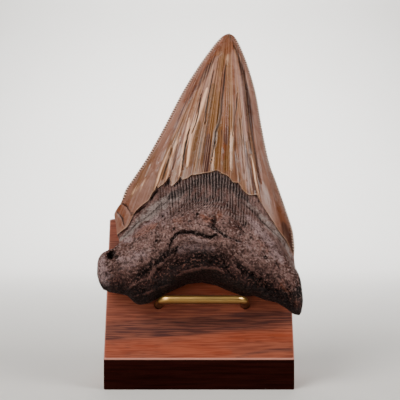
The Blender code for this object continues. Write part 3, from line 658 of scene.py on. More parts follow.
def tooth_grids(columns):
    """The root's and the crown's grids for this many columns: places on the slope, heights of both faces,
    and the shares u across and v up; for the crown also the serrations passed and what is left of each."""
    u_line = spread(columns)
    u_root, v_root = np.meshgrid(u_line, np.linspace(0, 1, ROOT_ROWS + 1) ** ROOT_ROW_CROWDING)
    u_crown, v_crown = np.meshgrid(u_line, np.linspace(0, 1, CROWN_ROWS + 1))
    root_plane, root_front, root_back = root_sheets(u_root, v_root)
    crown_plane, crown_front, crown_back = crown_sheets(u_crown, v_crown)
    root_front = root_front + root_relief(root_plane, u_root, v_root)
    crown_front = crown_front + crown_relief(crown_plane, u_crown, v_crown)
    crown_plane, count, left_over = serrate(crown_plane, u_crown, v_crown)
    toothed = -np.cos(2 * math.pi * count) * left_over
    from_border = smooth_step(np.minimum(u_crown, 1 - u_crown), *RISE_STARTS)
    crown_front = crown_front + SERRATION_RISE * toothed * from_border
    root = SimpleNamespace(plane=root_plane, front=root_front, back=root_back, u=u_root, v=v_root)
    crown = SimpleNamespace(plane=crown_plane, front=crown_front, back=crown_back, u=u_crown, v=v_crown,
                            count=count, left_over=left_over)
    return root, crown


root, crown = tooth_grids(FRONT_COLUMNS)
back_root, back_crown = tooth_grids(BACK_COLUMNS)
front_plane = np.concatenate([root.plane, crown.plane])
front_height = np.concatenate([root.front, crown.front])
back_plane = np.concatenate([back_root.plane, back_crown.plane[1:]])
back_height = np.concatenate([back_root.back, back_crown.back[1:]])
print("front grid", front_height.shape, "back grid", back_height.shape)


# %% Triangles between rows
def grid_triangles(index, flipped=False):
    """Two triangles for each square of a grid of point numbers, turned over if flipped."""
    a, b, c, d = index[:-1, :-1], index[:-1, 1:], index[1:, 1:], index[1:, :-1]
    triangles = np.concatenate([np.stack(t, -1).reshape(-1, 3) for t in ((a, b, c), (a, c, d))])
    return triangles[:, ::-1] if flipped else triangles


def fan_triangles(fine, coarse):
    """Joins a fine row of points to a coarse one above it, seen from the front."""
    step = (len(fine) - 1) // (len(coarse) - 1)
    j = np.arange(len(fine) - 1)
    to_coarse = np.stack([fine[j], fine[j + 1], coarse[(j + step // 2) // step]], -1)
    i = np.arange(len(coarse) - 1)
    to_fine = np.stack([coarse[i], fine[i * step + step // 2], coarse[i + 1]], -1)
    return np.concatenate([to_coarse, to_fine])


front_index = np.arange(front_height.size).reshape(front_height.shape)
back_index = front_height.size + np.arange(back_height.size).reshape(back_height.shape)
lip_row = ROOT_ROWS + 1
front_index[lip_row, [0, -1]] = front_index[lip_row - 1, [0, -1]]
front_index[-1] = front_index[-1, 0]
rim_rows = np.delete(np.arange(len(front_index)), lip_row)
back_index[:, 0] = front_index[rim_rows, 0]
back_index[:, -1] = front_index[rim_rows, -1]
back_index[-1] = front_index[-1, 0]
print("the enamel starts at row", lip_row, "of", len(front_index))

# %% One closed body
tooth_triangles = np.concatenate([
    grid_triangles(front_index),
    grid_triangles(back_index[1:], flipped=True),
    fan_triangles(front_index[0], back_index[1])[:, ::-1],
])
# Where rows share a point, a triangle has the same corner twice and goes.
repeats = (tooth_triangles == np.roll(tooth_triangles, 1, axis=1)).any(axis=1)
tooth_triangles = tooth_triangles[~repeats]
# Where front and back use the same three points, the two faces lie on each other and both go.
_, kind, times = np.unique(np.sort(tooth_triangles, axis=1), axis=0, return_inverse=True, return_counts=True)
tooth_triangles = tooth_triangles[times[kind.ravel()] == 1]

tooth_plane = np.concatenate([front_plane.reshape(-1, 2), back_plane.reshape(-1, 2)])
tooth_height = np.concatenate([front_height.ravel(), back_height.ravel()])
used, tooth_triangles = np.unique(tooth_triangles, return_inverse=True)
tooth_triangles = tooth_triangles.reshape(-1, 3)
tooth_points = on_slope(tooth_plane[used, 0], tooth_plane[used, 1], tooth_height[used])
tooth_low, tooth_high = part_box("tooth")
outside = np.maximum(np.array(tooth_low) - tooth_points, tooth_points - np.array(tooth_high)).max()
tooth_points = np.clip(tooth_points, tooth_low, tooth_high)
print(len(tooth_triangles), "triangles")
print("the relief passed the CAD box by", round(1000 * max(outside, 0), 2), "mm")


# %% Arrays into a Blender mesh
def mesh_object(name, points, triangles, smooth_angle=40.0):
    """An object at the world's origin from an array of points and one of triangles."""
    mesh = bpy.data.meshes.new(name)
    mesh.vertices.add(len(points))
    mesh.vertices.foreach_set("co", points.astype(np.float32).ravel())
    mesh.loops.add(triangles.size)
    mesh.loops.foreach_set("vertex_index", triangles.astype(np.int32).ravel())
    mesh.polygons.add(len(triangles))
    mesh.polygons.foreach_set("loop_start", np.arange(0, triangles.size, 3, dtype=np.int32))
    mesh.update(calc_edges=True)
    mesh.shade_smooth()
    mesh.set_sharp_from_angle(angle=math.radians(smooth_angle))
    made = bpy.data.objects.new(name, mesh)
    bpy.context.scene.collection.objects.link(made)
    return made


def point_values(piece, name, values):
    """Stores a value at each point, for a material to read by name."""
    layer = piece.data.attributes.new(name, "FLOAT", "POINT")
    layer.data.foreach_set("value", values.astype(np.float32).ravel())


def point_places(piece):
    """Where the piece's points lie, as an array of (x, y, z) rows in metres."""
    places = np.empty(3 * len(piece.data.vertices), np.float32)
    piece.data.vertices.foreach_get("co", places)
    return places.reshape(-1, 3)


tooth = mesh_object("megalodon_tooth", tooth_points, tooth_triangles, smooth_angle=50.0)
print("tooth:", len(tooth.data.vertices), "points,", len(tooth.data.polygons), "faces")

# %% [markdown]
# ## Where the colours lie
#
# Minerals left uneven stains on the tooth: olive down the middle of the crown, orange at its corners, a dark
# bevel, pale splinters, grey along the neck and nearly black in the open bone.  Some masks also carry painted
# light: the pale splinters and the root's shoulders and brow are partly a painted highlight, and the root's
# hollows and underside are partly painted shade.  Such stains and painted light follow the tooth's own
# features, so they are drawn as the relief is, and stored at the points as masks from 0 to 1.
# The materials decide later what colour each mask means.

# %% Stains and painted light as drawn masks
STAINS_AND_PAINTED_LIGHT = {
    "olive": (
        (((5.9, 110.4), (4.8, 97.3), (4.0, 88.4), (2.8, 79.7), (1.9, 70.0)), 2.4, 1.0),
        (((0.4, 92.0), (-1.0, 82.0), (-2.0, 70.0)), 1.8, 0.8),
        (((8.5, 105.9), (7.2, 90.7), (6.6, 80.1), (6.4, 70.0)), 2.4, 1.1),
        (((12.4, 100.0), (11.6, 86.0), (10.4, 70.0)), 2.4, 1.1),
        (((13.9, 84.2), (15.0, 72.4), (16.2, 64.7)), 1.0, 0.4),
        (((-9.0, 88.0), (-12.0, 78.0), (-15.0, 68.0)), 2.4, 0.6),
        (((-17.0, 83.0), (-22.0, 72.0), (-27.0, 62.0)), 3.0, 0.6),
        (((12.2, 130.0), (9.8, 122.0), (8.4, 114.0)), 1.6, 0.7),
    ),
    "orange": (
        (((13.4, 141.0), (13.0, 136.5), (12.4, 131.0), (11.6, 126.0)), 3.6, 1.0),
        (((14.9, 133.0), (16.9, 128.0), (18.4, 120.0)), 1.2, 0.8),
        (((10.8, 134.2), (7.3, 128.5), (3.4, 121.5), (-1.6, 112.0), (-6.0, 103.0)), 2.4, 0.9),
        (((10.9, 118.1), (9.9, 103.4), (10.6, 92.4), (10.3, 84.5), (9.4, 74.8)), 1.5, 1.1),
        (((3.0, 96.0), (3.4, 84.0), (3.0, 72.0)), 1.6, 0.6),
        (((29.4, 60.3), (32.0, 54.3), (34.4, 48.7)), 2.0, 1.0),
        (((-27.5, 61.3), (-30.0, 56.5), (-31.0, 51.3)), 2.6, 0.7),
        (((-31.1, 60.0), (-32.5, 56.6)), 0.8, 0.8),
    ),
    "red_brown": (
        (((9.0, 88.0), (10.7, 81.4)), 1.0, 0.7),
        (((33.0, 51.7), (35.5, 45.3), (36.6, 40.6)), 2.2, 1.0),
        (((16.6, 124.0), (18.3, 117.0), (19.6, 110.0), (20.3, 104.2), (20.5, 98.4), (21.1, 91.0)), 1.3, 1.0),
        (((20.8, 95.0), (22.0, 83.0), (22.8, 73.9), (23.7, 62.2)), 1.0, 0.9),
        (((13.0, 137.0), (14.4, 133.4), (16.2, 128.0), (18.0, 122.0), (19.0, 116.0)), 1.2, 0.7),
        (((19.4, 112.0), (20.3, 104.0), (20.7, 96.0), (21.6, 86.0)), 1.2, 0.7),
        (((0.8, 88.0), (0.4, 80.0), (0.0, 71.0)), 0.7, 0.5),
        (((7.4, 126.5), (3.4, 118.0), (0.6, 112.5)), 0.8, 0.6),
    ),
    "purple": (
        (((-1.4, 108.0), (1.4, 114.0), (3.2, 117.8), (5.4, 122.4)), 1.5, 1.0),
        (((3.9, 86.0), (3.1, 76.6), (2.5, 68.5)), 1.5, 1.2),
        (((-1.0, 110.2), (-3.8, 104.6), (-7.8, 96.9), (-11.0, 88.0)), 1.4, 0.6),
        (((18.8, 80.1), (20.2, 70.6), (22.2, 59.4)), 1.2, 0.8),
        (((11.4, 90.0), (10.8, 82.0)), 1.4, 0.6),
        (((-20.0, 86.0), (-24.0, 78.0)), 1.4, 0.5),
    ),
    "pink": (
        (((14.2, 128.3), (15.9, 116.2), (17.8, 106.8), (18.7, 95.0), (18.6, 84.0)), 2.0, 1.0),
        (((17.2, 82.0), (17.8, 72.0), (19.0, 62.5)), 2.2, 0.8),
        (((7.6, 125.4), (5.2, 114.8), (3.0, 106.0), (0.6, 98.0)), 2.0, 1.0),
        (((-5.0, 92.0), (-8.0, 80.0), (-12.5, 70.0)), 2.0, 0.6),
        (((22.6, 116.0), (24.4, 99.0), (27.0, 82.0)), 2.2, 0.9),
        (((-8.0, 110.0), (-13.0, 101.0), (-18.0, 92.0), (-23.0, 82.0)), 2.0, 0.8),
    ),
    # Pale splinters: partly a painted highlight where their ribs catch the light.
    "pale": SPLINTERS + (
        (((-20.3, 69.3), (-23.3, 66.4), (-27.1, 63.6)), 2.0, 0.45),
    ),
    "crack": CROWN_CRACKS,
    "grey_band": (
        (((-31.0, 45.4), (-26.2, 49.0), (-23.0, 52.3), (-19.8, 55.0), (-16.0, 57.6), (-12.0, 60.0),
          (-6.0, 61.6)), 2.8, 0.85),
        (((-20.0, 52.0), (-13.0, 56.0), (-6.0, 58.6), (4.0, 60.0)), 3.2, 0.45),
        (((18.1, 57.9), (23.0, 53.4), (26.4, 50.0), (30.0, 46.6), (33.4, 43.0), (36.2, 38.0)), 2.2, 0.75),
    ),
    "dark_band": (
        (((-12.0, 60.0), (-8.0, 62.4), (-4.4, 63.8), (-1.7, 65.2), (2.4, 66.6), (6.3, 67.4), (10.2, 65.6),
          (13.9, 62.9), (19.0, 58.0)), 3.0, 0.9),
        (((5.6, 69.3), (6.5, 65.5), (6.5, 62.1)), 1.8, 0.9),
        (((-6.0, 59.0), (-1.1, 57.8), (4.0, 58.4), (10.0, 57.0)), 3.0, 0.6),
    ),
    "rusty": (
        (((-9.9, 48.9), (-6.0, 47.0)), 2.2, 0.7),
        (((0.5, 50.2), (4.0, 48.0), (8.8, 51.7)), 2.4, 0.8),
        (((-25.0, 44.0), (-21.0, 47.0), (-16.0, 48.0)), 2.8, 1.0),
        (((22.0, 42.0), (26.0, 38.0)), 2.4, 0.5),
        (((30.0, 28.0), (34.0, 22.0), (36.5, 18.0)), 2.6, 0.6),
    ),
    # Pale on the shoulders, the brow and the far left lobe: partly wear, partly a painted highlight where
    # light falls on them.
    "worn": (
        (((-28.0, 42.0), (-24.0, 46.0), (-18.0, 50.0), (-12.0, 54.0)), 3.6, 0.8),
        (((-14.0, 47.0), (-8.0, 50.0)), 3.0, 0.4),
        (((18.0, 52.0), (23.0, 46.5), (28.0, 40.0), (31.0, 34.0)), 3.4, 0.75),
        (((-36.6, 37.2), (-37.2, 31.8), (-34.4, 26.3)), 3.6, 0.8),
        (((-31.0, 36.0), (-27.0, 34.0), (-22.0, 36.0), (-18.0, 38.5)), 3.4, 0.65),
        (((-9.0, 37.6), (-4.0, 38.4), (2.0, 37.6), (6.0, 38.0)), 2.2, 0.55),
        (((-6.0, 41.2), (-2.4, 41.3), (4.1, 40.0)), 0.9, 0.7),
        (((14.0, 40.6), (19.0, 38.4), (23.0, 34.4)), 1.4, 0.6),
    ),
    # Nearly black in the hollows, under the flanges and along the underside: dark porous bone with painted
    # shade.
    "dark_pores_and_shade": (
        (((-24.0, 27.6), (-19.0, 31.0), (-13.0, 35.5), (-8.0, 38.6)), 1.8, 0.9),
        (((-12.0, 31.0), (-6.0, 33.0), (2.0, 34.0), (9.0, 33.0)), 2.2, 0.9),
        (((14.0, 33.0), (20.0, 27.5), (27.0, 23.8), (33.0, 20.0)), 2.4, 0.9),
        (((-31.0, 23.6), (-26.0, 21.6), (-21.0, 21.4), (-15.5, 24.0), (-9.0, 27.0)), 2.6, 1.0),
        (((14.0, 24.8), (20.0, 23.6), (28.0, 21.4), (35.0, 17.0)), 1.4, 0.5),
        (((29.0, 23.0), (34.0, 20.0), (38.0, 25.0)), 3.4, 0.8),
        (((38.0, 36.0), (39.4, 29.0), (38.8, 20.0)), 2.0, 0.9),
        (((-6.0, 36.4), (2.0, 37.0), (9.0, 35.4)), 1.8, 0.5),
    ),
}
print(len(STAINS_AND_PAINTED_LIGHT), "masks of", sum(len(lines) for lines in STAINS_AND_PAINTED_LIGHT.values()), "lines")

# %% Values at the points
# The crown's bevels are smooth, and end at these lines, as (up the slope, across).
INNER_LEFT = ((46.0, -24.5), (58.0, -20.5), (64.0, -18.5), (72.0, -15.5), (80.6, -12.2), (89.9, -8.7),
              (99.4, -5.4), (106.8, -1.7), (112.5, 0.4), (117.8, 2.9), (124.2, 5.9), (131.7, 9.9),
              (139.0, 12.9))
INNER_RIGHT = ((38.0, 25.0), (59.4, 23.7), (69.9, 23.2), (80.6, 22.3), (89.9, 21.8), (99.4, 20.9),
               (106.8, 20.3), (115.3, 19.3), (124.2, 17.9), (130.7, 15.9), (139.0, 12.9))
LEFT_SOFTNESS = (0.6, -1.2)
RIGHT_SOFTNESS = (-0.3, 0.8)
LIP_ROWS = 2.5  # rows above the margin over which the broken edge shows


def joined(root_part, crown_part, back_part=0.0):
    """One value for each point of the tooth: front root rows, front crown rows, then the back."""
    back = np.full(back_height.size, back_part) if np.isscalar(back_part) else back_part.ravel()
    return np.concatenate([root_part.ravel(), crown_part.ravel(), back])[used]


for name, lines in STAINS_AND_PAINTED_LIGHT.items():
    mask = np.clip(drawn(front_plane, lines), 0, 1)
    point_values(tooth, name, joined(mask[:lip_row], mask[lip_row:]))

none_on_root, none_on_crown = np.zeros_like(root.front), np.zeros_like(crown.front)
point_values(tooth, "root_grain", joined(root_grain(root.plane, root.u, root.v), none_on_crown))
point_values(tooth, "neck_ribs", joined(neck_ribs(root.plane, root.v), none_on_crown))
back_count = np.concatenate([np.zeros_like(back_root.u), back_crown.count[1:]])
point_values(tooth, "serrations_passed", joined(none_on_root, crown.count, back_count))
point_values(tooth, "serration_left", joined(none_on_root, crown.left_over))
fan_back = np.concatenate([fanned_out(back_root.plane), fanned_out(back_crown.plane)[1:]])
along_back = np.concatenate([back_root.v, back_crown.v[1:]])
point_values(tooth, "fan", joined(fanned_out(root.plane), fanned_out(crown.plane), fan_back))
point_values(tooth, "along", joined(root.v, crown.v, along_back))
crown_p, crown_q = crown.plane[..., 0], crown.plane[..., 1]
inner_left, inner_right = through(crown_q, INNER_LEFT), through(crown_q, INNER_RIGHT)
on_bevel = smooth_step(crown_p, inner_left + LEFT_SOFTNESS[0], inner_left + LEFT_SOFTNESS[1])
on_bevel += smooth_step(crown_p, inner_right + RIGHT_SOFTNESS[0], inner_right + RIGHT_SOFTNESS[1])
point_values(tooth, "bevel", joined(none_on_root, on_bevel))
# The share of the broken lip's painted highlight, strongest at the margin.
lip_share = np.clip(1 - crown.v * CROWN_ROWS / LIP_ROWS, 0, 1)
point_values(tooth, "broken_lip", joined(none_on_root, lip_share))
print("the tooth's mesh carries", len(tooth.data.attributes), "attributes")

# %% Which faces are enamel
row_front = np.broadcast_to(np.arange(len(front_index))[:, None], front_index.shape)
row_back = np.broadcast_to(rim_rows[:, None], back_index.shape)
row_of_point = np.concatenate([row_front.ravel(), row_back.ravel()])[used]
on_enamel = (row_of_point[tooth_triangles].max(axis=1) >= lip_row).astype(np.int32)
print("enamel covers", round(100 * on_enamel.mean()), "% of the faces")

# %% [markdown]
# ## Making materials
#
# A material is a small net of nodes.  Three effects come up again and again on this object: an uneven tone,
# streaks that run one way, and small specks.  Each is built once as a node group, and every material calls
# it with its own size, so a grain on the wood and a streak on the enamel stay two settings of one idea.

# %% Short ways to place nodes
def paint(red, green, blue):
    """A colour from the 0 to 255 values of a paint chart, in the linear light that shaders work in."""
    chart = np.array([red, green, blue]) / 255
    linear = np.where(chart <= 0.04045, chart / 12.92, ((chart + 0.055) / 1.055) ** 2.4)
    return (*linear.tolist(), 1.0)


def place(tree, kind, settings, inputs, output=0):
    """Adds a node, with its settings and its inputs given as numbers or as other nodes' sockets."""
    node = tree.nodes.new("ShaderNode" + kind)
    for name, value in settings.items():
        setattr(node, name, value)
    for name, value in inputs.items():
        if isinstance(value, bpy.types.NodeSocket):
            tree.links.new(value, node.inputs[name])
        else:
            node.inputs[name].default_value = value
    return node.outputs[output]


def calculate(tree, operation, a, b=0.0, c=0.0):
    """One sum: an operation of the Math node."""
    return place(tree, "Math", {"operation": operation}, {0: a, 1: b, 2: c})


def part_of(tree, mask, share):
    """A mask times a share, which may be a number or another mask."""
    return calculate(tree, "MULTIPLY", mask, share)


def ramp(tree, value, start, end, low=0.0, high=1.0):
    """Turns a value between start and end into one between low and high, softly at both ends."""
    limits = {"Value": value, "From Min": start, "From Max": end, "To Min": low, "To Max": high}
    return place(tree, "MapRange", {"interpolation_type": "SMOOTHSTEP"}, limits)


def over(tree, share, below, above):
    """One colour laid over another by a share."""
    return place(tree, "Mix", {"data_type": "RGBA"}, {0: share, 6: below, 7: above}, 2)


def stored(tree, name):
    """A value that was stored at the mesh's points."""
    return place(tree, "Attribute", {"attribute_name": name}, {}, "Fac")


def squeezed(tree, vector, x, y, z):
    """A vector with each of its parts multiplied by its own number."""
    return place(tree, "VectorMath", {"operation": "MULTIPLY"}, {0: vector, 1: (x, y, z)})


def link_bump(tree, shader, height, strength, distance):
    """Leads a height into the shader's normal through a Bump node."""
    settings = {"Height": height, "Strength": strength, "Distance": distance}
    tree.links.new(place(tree, "Bump", {}, settings, "Normal"), shader["Normal"])


print("paint(128, 128, 128) is", round(paint(128, 128, 128)[0], 3), "in linear light")


# %% Short ways to make and call a node group
def new_group(name, outputs, **inputs):
    """An empty node group with these inputs (their usual values) and outputs, and its two end nodes."""
    group = bpy.data.node_groups.new(name, "ShaderNodeTree")
    group.interface.new_socket("Vector", in_out="INPUT", socket_type="NodeSocketVector")
    for socket, usual in inputs.items():
        made = group.interface.new_socket(socket, in_out="INPUT", socket_type="NodeSocketFloat")
        made.default_value = usual
    for socket in outputs:
        group.interface.new_socket(socket, in_out="OUTPUT", socket_type="NodeSocketFloat")
    return group, group.nodes.new("NodeGroupInput").outputs, group.nodes.new("NodeGroupOutput").inputs


def call(tree, group, vector, output, **inputs):
    """Places a group in a material with its own values."""
    node = tree.nodes.new("ShaderNodeGroup")
    node.node_tree = group
    tree.links.new(vector, node.inputs["Vector"])
    for name, value in inputs.items():
        node.inputs[name].default_value = value
    return node.outputs[output]


print("groups so far:", len(bpy.data.node_groups))

# %% Group: an uneven tone
UNEVEN, taken, given = new_group("Uneven tone", ["Mask"], Scale=100.0, Contrast=2.0)
cloud = place(UNEVEN, "TexNoise", {}, {"Vector": taken["Vector"], "Scale": taken["Scale"], "Detail": 5.0})
centred = calculate(UNEVEN, "SUBTRACT", cloud, 0.5)
stretched = calculate(UNEVEN, "MULTIPLY_ADD", centred, taken["Contrast"], 0.5)
capped = calculate(UNEVEN, "MINIMUM", stretched, 1.0)
UNEVEN.links.new(calculate(UNEVEN, "MAXIMUM", capped, 0.0), given["Mask"])
print(UNEVEN.name, "has", len(UNEVEN.nodes), "nodes")

# %% Group: streaks that run one way
STREAKS, taken, given = new_group("Streaks", ["Mask", "Fine"], Across=100.0, Along=5.0, Sharpness=0.2)
squeeze = place(STREAKS, "CombineXYZ", {}, {0: taken["Across"], 1: taken["Along"], 2: taken["Along"]})
pulled = place(STREAKS, "VectorMath", {"operation": "MULTIPLY"}, {0: taken["Vector"], 1: squeeze})
fibres = place(STREAKS, "TexNoise", {}, {"Vector": pulled, "Scale": 1.0, "Detail": 3.0, "Roughness": 0.6})
low_end = calculate(STREAKS, "SUBTRACT", 0.5, taken["Sharpness"])
high_end = calculate(STREAKS, "ADD", 0.5, taken["Sharpness"])
STREAKS.links.new(ramp(STREAKS, fibres, low_end, high_end), given["Mask"])
hairs = place(STREAKS, "TexNoise", {}, {"Vector": pulled, "Scale": 3.7, "Detail": 2.0})
STREAKS.links.new(hairs, given["Fine"])
print(STREAKS.name, "has", len(STREAKS.nodes), "nodes")

# %% Group: small specks
SPECKS, taken, given = new_group("Specks", ["Mask"], Scale=1000.0, Size=0.3, Share=0.5)
cells = SPECKS.nodes.new("ShaderNodeTexVoronoi")
SPECKS.links.new(taken["Vector"], cells.inputs["Vector"])
SPECKS.links.new(taken["Scale"], cells.inputs["Scale"])
near = ramp(SPECKS, cells.outputs["Distance"], 0.0, taken["Size"], 1.0, 0.0)
lot = place(SPECKS, "SeparateColor", {}, {0: cells.outputs["Color"]})
chosen = calculate(SPECKS, "LESS_THAN", lot, taken["Share"])
SPECKS.links.new(calculate(SPECKS, "MULTIPLY", near, chosen), given["Mask"])
print("node groups:", [group.name for group in bpy.data.node_groups])

# %% [markdown]
# ## Enamel
#
# The enamel keeps a hard gloss.  Its colour runs in streaks that fan out from a point above the tip, because
# the crown grew in layers from there.  So the pattern is drawn in the crown's own directions, which are
# stored at the points: fan, across the streaks, and along, up the crown.  The drawn stains are laid over that
# one by one, together with the painted highlights on the pale splinters and on the broken lip, and the
# streaks break up their edges.

# %% The enamel's stains and painted highlights, in the order they are laid
BROAD_STAINS = (
    ("pink", paint(156, 117, 105), 0.8),
    ("olive", paint(102, 64, 22), 0.9),
    ("orange", paint(108, 56, 28), 0.9),
    ("purple", paint(60, 31, 30), 0.9),
    ("red_brown", paint(58, 29, 20), 0.95),
)
# Pale splinters, partly a painted highlight where their ribs catch the light.
PALE_SPLINTERS_AND_HIGHLIGHTS = (("pale", paint(250, 198, 162), 0.8),)
CRACKS_AND_LIP_HIGHLIGHT = (
    ("crack", paint(26, 15, 12), 0.95),
    # A pale line along the enamel's broken lip: a painted highlight on its edge.
    ("broken_lip", paint(186, 150, 124), 0.5),
)


def lay_stains_and_painted_light(tree, colour, stains, breaker, amount, faint=0.25, full=0.85):
    """Each mark's share, for stains and painted light alike, is its mask, raised or lowered by up to half the
    amount where the breaker is high or low, and then made crisper: nothing up to faint, all of it from full."""
    for name, tone, strength in stains:
        shift = calculate(tree, "MULTIPLY_ADD", breaker, amount, -0.5 * amount)
        share = ramp(tree, calculate(tree, "ADD", stored(tree, name), shift), faint, full, 0.0, strength)
        colour = over(tree, share, colour, tone)
    return colour


def new_material(name):
    """A material, its tree, and its Principled shader's inputs."""
    made = bpy.data.materials.new(name)
    made.use_nodes = True
    return made, made.node_tree, made.node_tree.nodes["Principled BSDF"].inputs


print("the enamel has", len(BROAD_STAINS + PALE_SPLINTERS_AND_HIGHLIGHTS + CRACKS_AND_LIP_HIGHLIGHT), "stains")

# %% The enamel's colour
ENAMEL, tree, shader = new_material("enamel")
grown = place(tree, "CombineXYZ", {}, {0: stored(tree, "fan"), 1: stored(tree, "along"), 2: 0.0})
body = place(tree, "TexCoord", {}, {}, "Object")
wide = call(tree, STREAKS, grown, "Mask", Across=22.0, Along=0.3, Sharpness=0.12)
golden = call(tree, STREAKS, grown, "Mask", Across=46.0, Along=0.35, Sharpness=0.1)
thin = call(tree, STREAKS, grown, "Mask", Across=70.0, Along=0.4, Sharpness=0.12)
hair = call(tree, STREAKS, grown, "Fine", Across=36.0, Along=0.2)
cloudy = call(tree, UNEVEN, body, "Mask", Scale=130.0, Contrast=3.0)

off_bevel = calculate(tree, "MULTIPLY_ADD", stored(tree, "bevel"), -0.85, 1.0)
tone = over(tree, cloudy, paint(114, 69, 47), paint(150, 102, 80))
tone = over(tree, part_of(tree, wide, part_of(tree, off_bevel, 0.6)), tone, paint(80, 46, 32))
tone = over(tree, part_of(tree, golden, part_of(tree, off_bevel, 0.35)), tone, paint(176, 130, 88))
light_hair = part_of(tree, ramp(tree, hair, 0.52, 0.66, 0.0, 0.4), off_bevel)
dark_hair = part_of(tree, ramp(tree, hair, 0.48, 0.33, 0.0, 0.75), off_bevel)
tone = over(tree, part_of(tree, stored(tree, "bevel"), 0.5), tone, paint(170, 126, 112))
low_share = ramp(tree, stored(tree, "along"), 0.55, 0.1, 0.0, 0.42)
tone = over(tree, low_share, tone, paint(74, 42, 24))
tone = lay_stains_and_painted_light(tree, tone, BROAD_STAINS, thin, 0.6, 0.15, 1.0)
tone = over(tree, light_hair, tone, paint(206, 164, 136))
tone = over(tree, dark_hair, tone, paint(42, 22, 16))
tone = lay_stains_and_painted_light(tree, tone, PALE_SPLINTERS_AND_HIGHLIGHTS, thin, 0.6, 0.2, 1.1)
tone = lay_stains_and_painted_light(tree, tone, CRACKS_AND_LIP_HIGHLIGHT, thin, 0.35)
spots = call(tree, SPECKS, body, "Mask", Scale=420.0, Size=0.22, Share=0.22)
tone = over(tree, part_of(tree, spots, 0.5), tone, paint(46, 26, 20))
print("the enamel's colour takes", len(tree.nodes), "nodes")

# %% The serrations' painted highlight and shade, and the enamel's gloss and grain
turn = calculate(tree, "MULTIPLY", stored(tree, "serrations_passed"), -2 * math.pi)
toothed = part_of(tree, calculate(tree, "COSINE", turn), stored(tree, "serration_left"))
# The tips of the serrations get a painted highlight, and the notches between them get painted shade.
tone = over(tree, ramp(tree, toothed, -0.1, -0.35, 0.0, 0.95), tone, paint(244, 208, 186))
tone = over(tree, ramp(tree, toothed, 0.0, 0.25, 0.0, 0.95), tone, paint(48, 27, 21))
tree.links.new(tone, shader["Base Color"])
gloss = call(tree, UNEVEN, body, "Mask", Scale=260.0, Contrast=2.0)
dull = calculate(tree, "MULTIPLY_ADD", stored(tree, "crack"), 0.3, ramp(tree, gloss, 0.0, 1.0, 0.22, 0.36))
tree.links.new(dull, shader["Roughness"])
grain = calculate(tree, "ADD", part_of(tree, hair, 0.6), part_of(tree, gloss, 0.4))
link_bump(tree, shader, grain, 0.5, 0.0003)
shader["Specular IOR Level"].default_value = 0.3
print("enamel:", len(tree.nodes), "nodes")

# %% [markdown]
# ## Root
#
# The root is bone that has turned to stone: grey where it meets the enamel, nearly black in the porous
# hollow, where light specks of sediment stay in the pores, and pale on its shoulders, partly from wear and
# partly as a painted highlight.  The hollows and the underside get painted shade on top of the dark bone, and
# some light grains stand for painted glints.  Its colour also follows its height in the relief: a painted
# highlight on the high places and painted shade in the low ones, with some wear and dirt.

# %% Bone, dirt and specks, with painted highlight and shade
ROOT_STAINS_AND_PAINTED_LIGHT = (
    # Partly wear, partly a painted highlight on the shoulders and brow.
    ("worn", paint(188, 158, 157), 0.7),
    ("rusty", paint(164, 96, 68), 0.5),
    ("grey_band", paint(176, 158, 152), 0.85),
    ("dark_band", paint(46, 36, 35), 0.9),
    # Dark porous bone with painted shade in the hollows and on the underside.
    ("dark_pores_and_shade", paint(16, 5, 4), 0.95),
)
BONE, tree, shader = new_material("root_bone")
body = place(tree, "TexCoord", {}, {}, "Object")
cloudy = call(tree, UNEVEN, body, "Mask", Scale=140.0, Contrast=3.0)
crumbs = call(tree, UNEVEN, body, "Mask", Scale=1250.0, Contrast=2.8)
blotchy = call(tree, UNEVEN, body, "Mask", Scale=420.0, Contrast=2.6)
height = stored(tree, "root_grain")
upward = ramp(tree, stored(tree, "along"), 0.1, 0.42)
low_bone = over(tree, cloudy, paint(36, 14, 12), paint(66, 34, 30))
high_bone = over(tree, cloudy, paint(96, 60, 52), paint(162, 126, 118))
tone = over(tree, upward, low_bone, high_bone)
tone = lay_stains_and_painted_light(tree, tone, ROOT_STAINS_AND_PAINTED_LIGHT, blotchy, 0.6)
tone = over(tree, ramp(tree, blotchy, 0.45, 0.1, 0.0, 0.5), tone, paint(40, 23, 20))
# Lighter on the raised relief and darker in its pits and cracks: a painted highlight and painted shade, with
# some wear and dirt.
tone = over(tree, ramp(tree, height, 0.1, 0.9, 0.0, 0.55), tone, paint(176, 138, 128))
tone = over(tree, ramp(tree, height, -0.1, -0.8, 0.0, 0.88), tone, paint(22, 9, 7))
# Fewer crumbs where the mask of wear and painted highlight lies.
less_where_worn_and_lit = calculate(tree, "MULTIPLY_ADD", stored(tree, "worn"), -0.2, 1.0)
crumbled = part_of(tree, ramp(tree, stored(tree, "along"), 0.62, 0.82, 1.0, 0.3), less_where_worn_and_lit)
dark_crumbs = part_of(tree, ramp(tree, crumbs, 0.45, 0.1, 0.0, 0.7), crumbled)
# Light grains that stand for glints: a painted highlight on the bone's small bumps.
glint_crumbs = part_of(tree, ramp(tree, crumbs, 0.6, 0.9, 0.0, 0.5), crumbled)
tone = over(tree, dark_crumbs, tone, paint(28, 12, 10))
tone = over(tree, glint_crumbs, tone, over(tree, upward, paint(164, 112, 98), paint(200, 170, 163)))
ribs = stored(tree, "neck_ribs")
# The neck's ribs are painted light on their crests and dark between them: painted highlight and painted shade
# on the grey bone.
tone = over(tree, ramp(tree, ribs, 0.0, 0.7, 0.0, 0.85), tone, paint(158, 138, 133))
tone = over(tree, ramp(tree, ribs, 0.0, -0.8, 0.0, 0.9), tone, paint(18, 11, 10))
# Nearly black along the basal edge: painted shade on the root's underside.
tone = over(tree, ramp(tree, stored(tree, "along"), 0.16, 0.04, 0.0, 0.85), tone, paint(24, 8, 6))
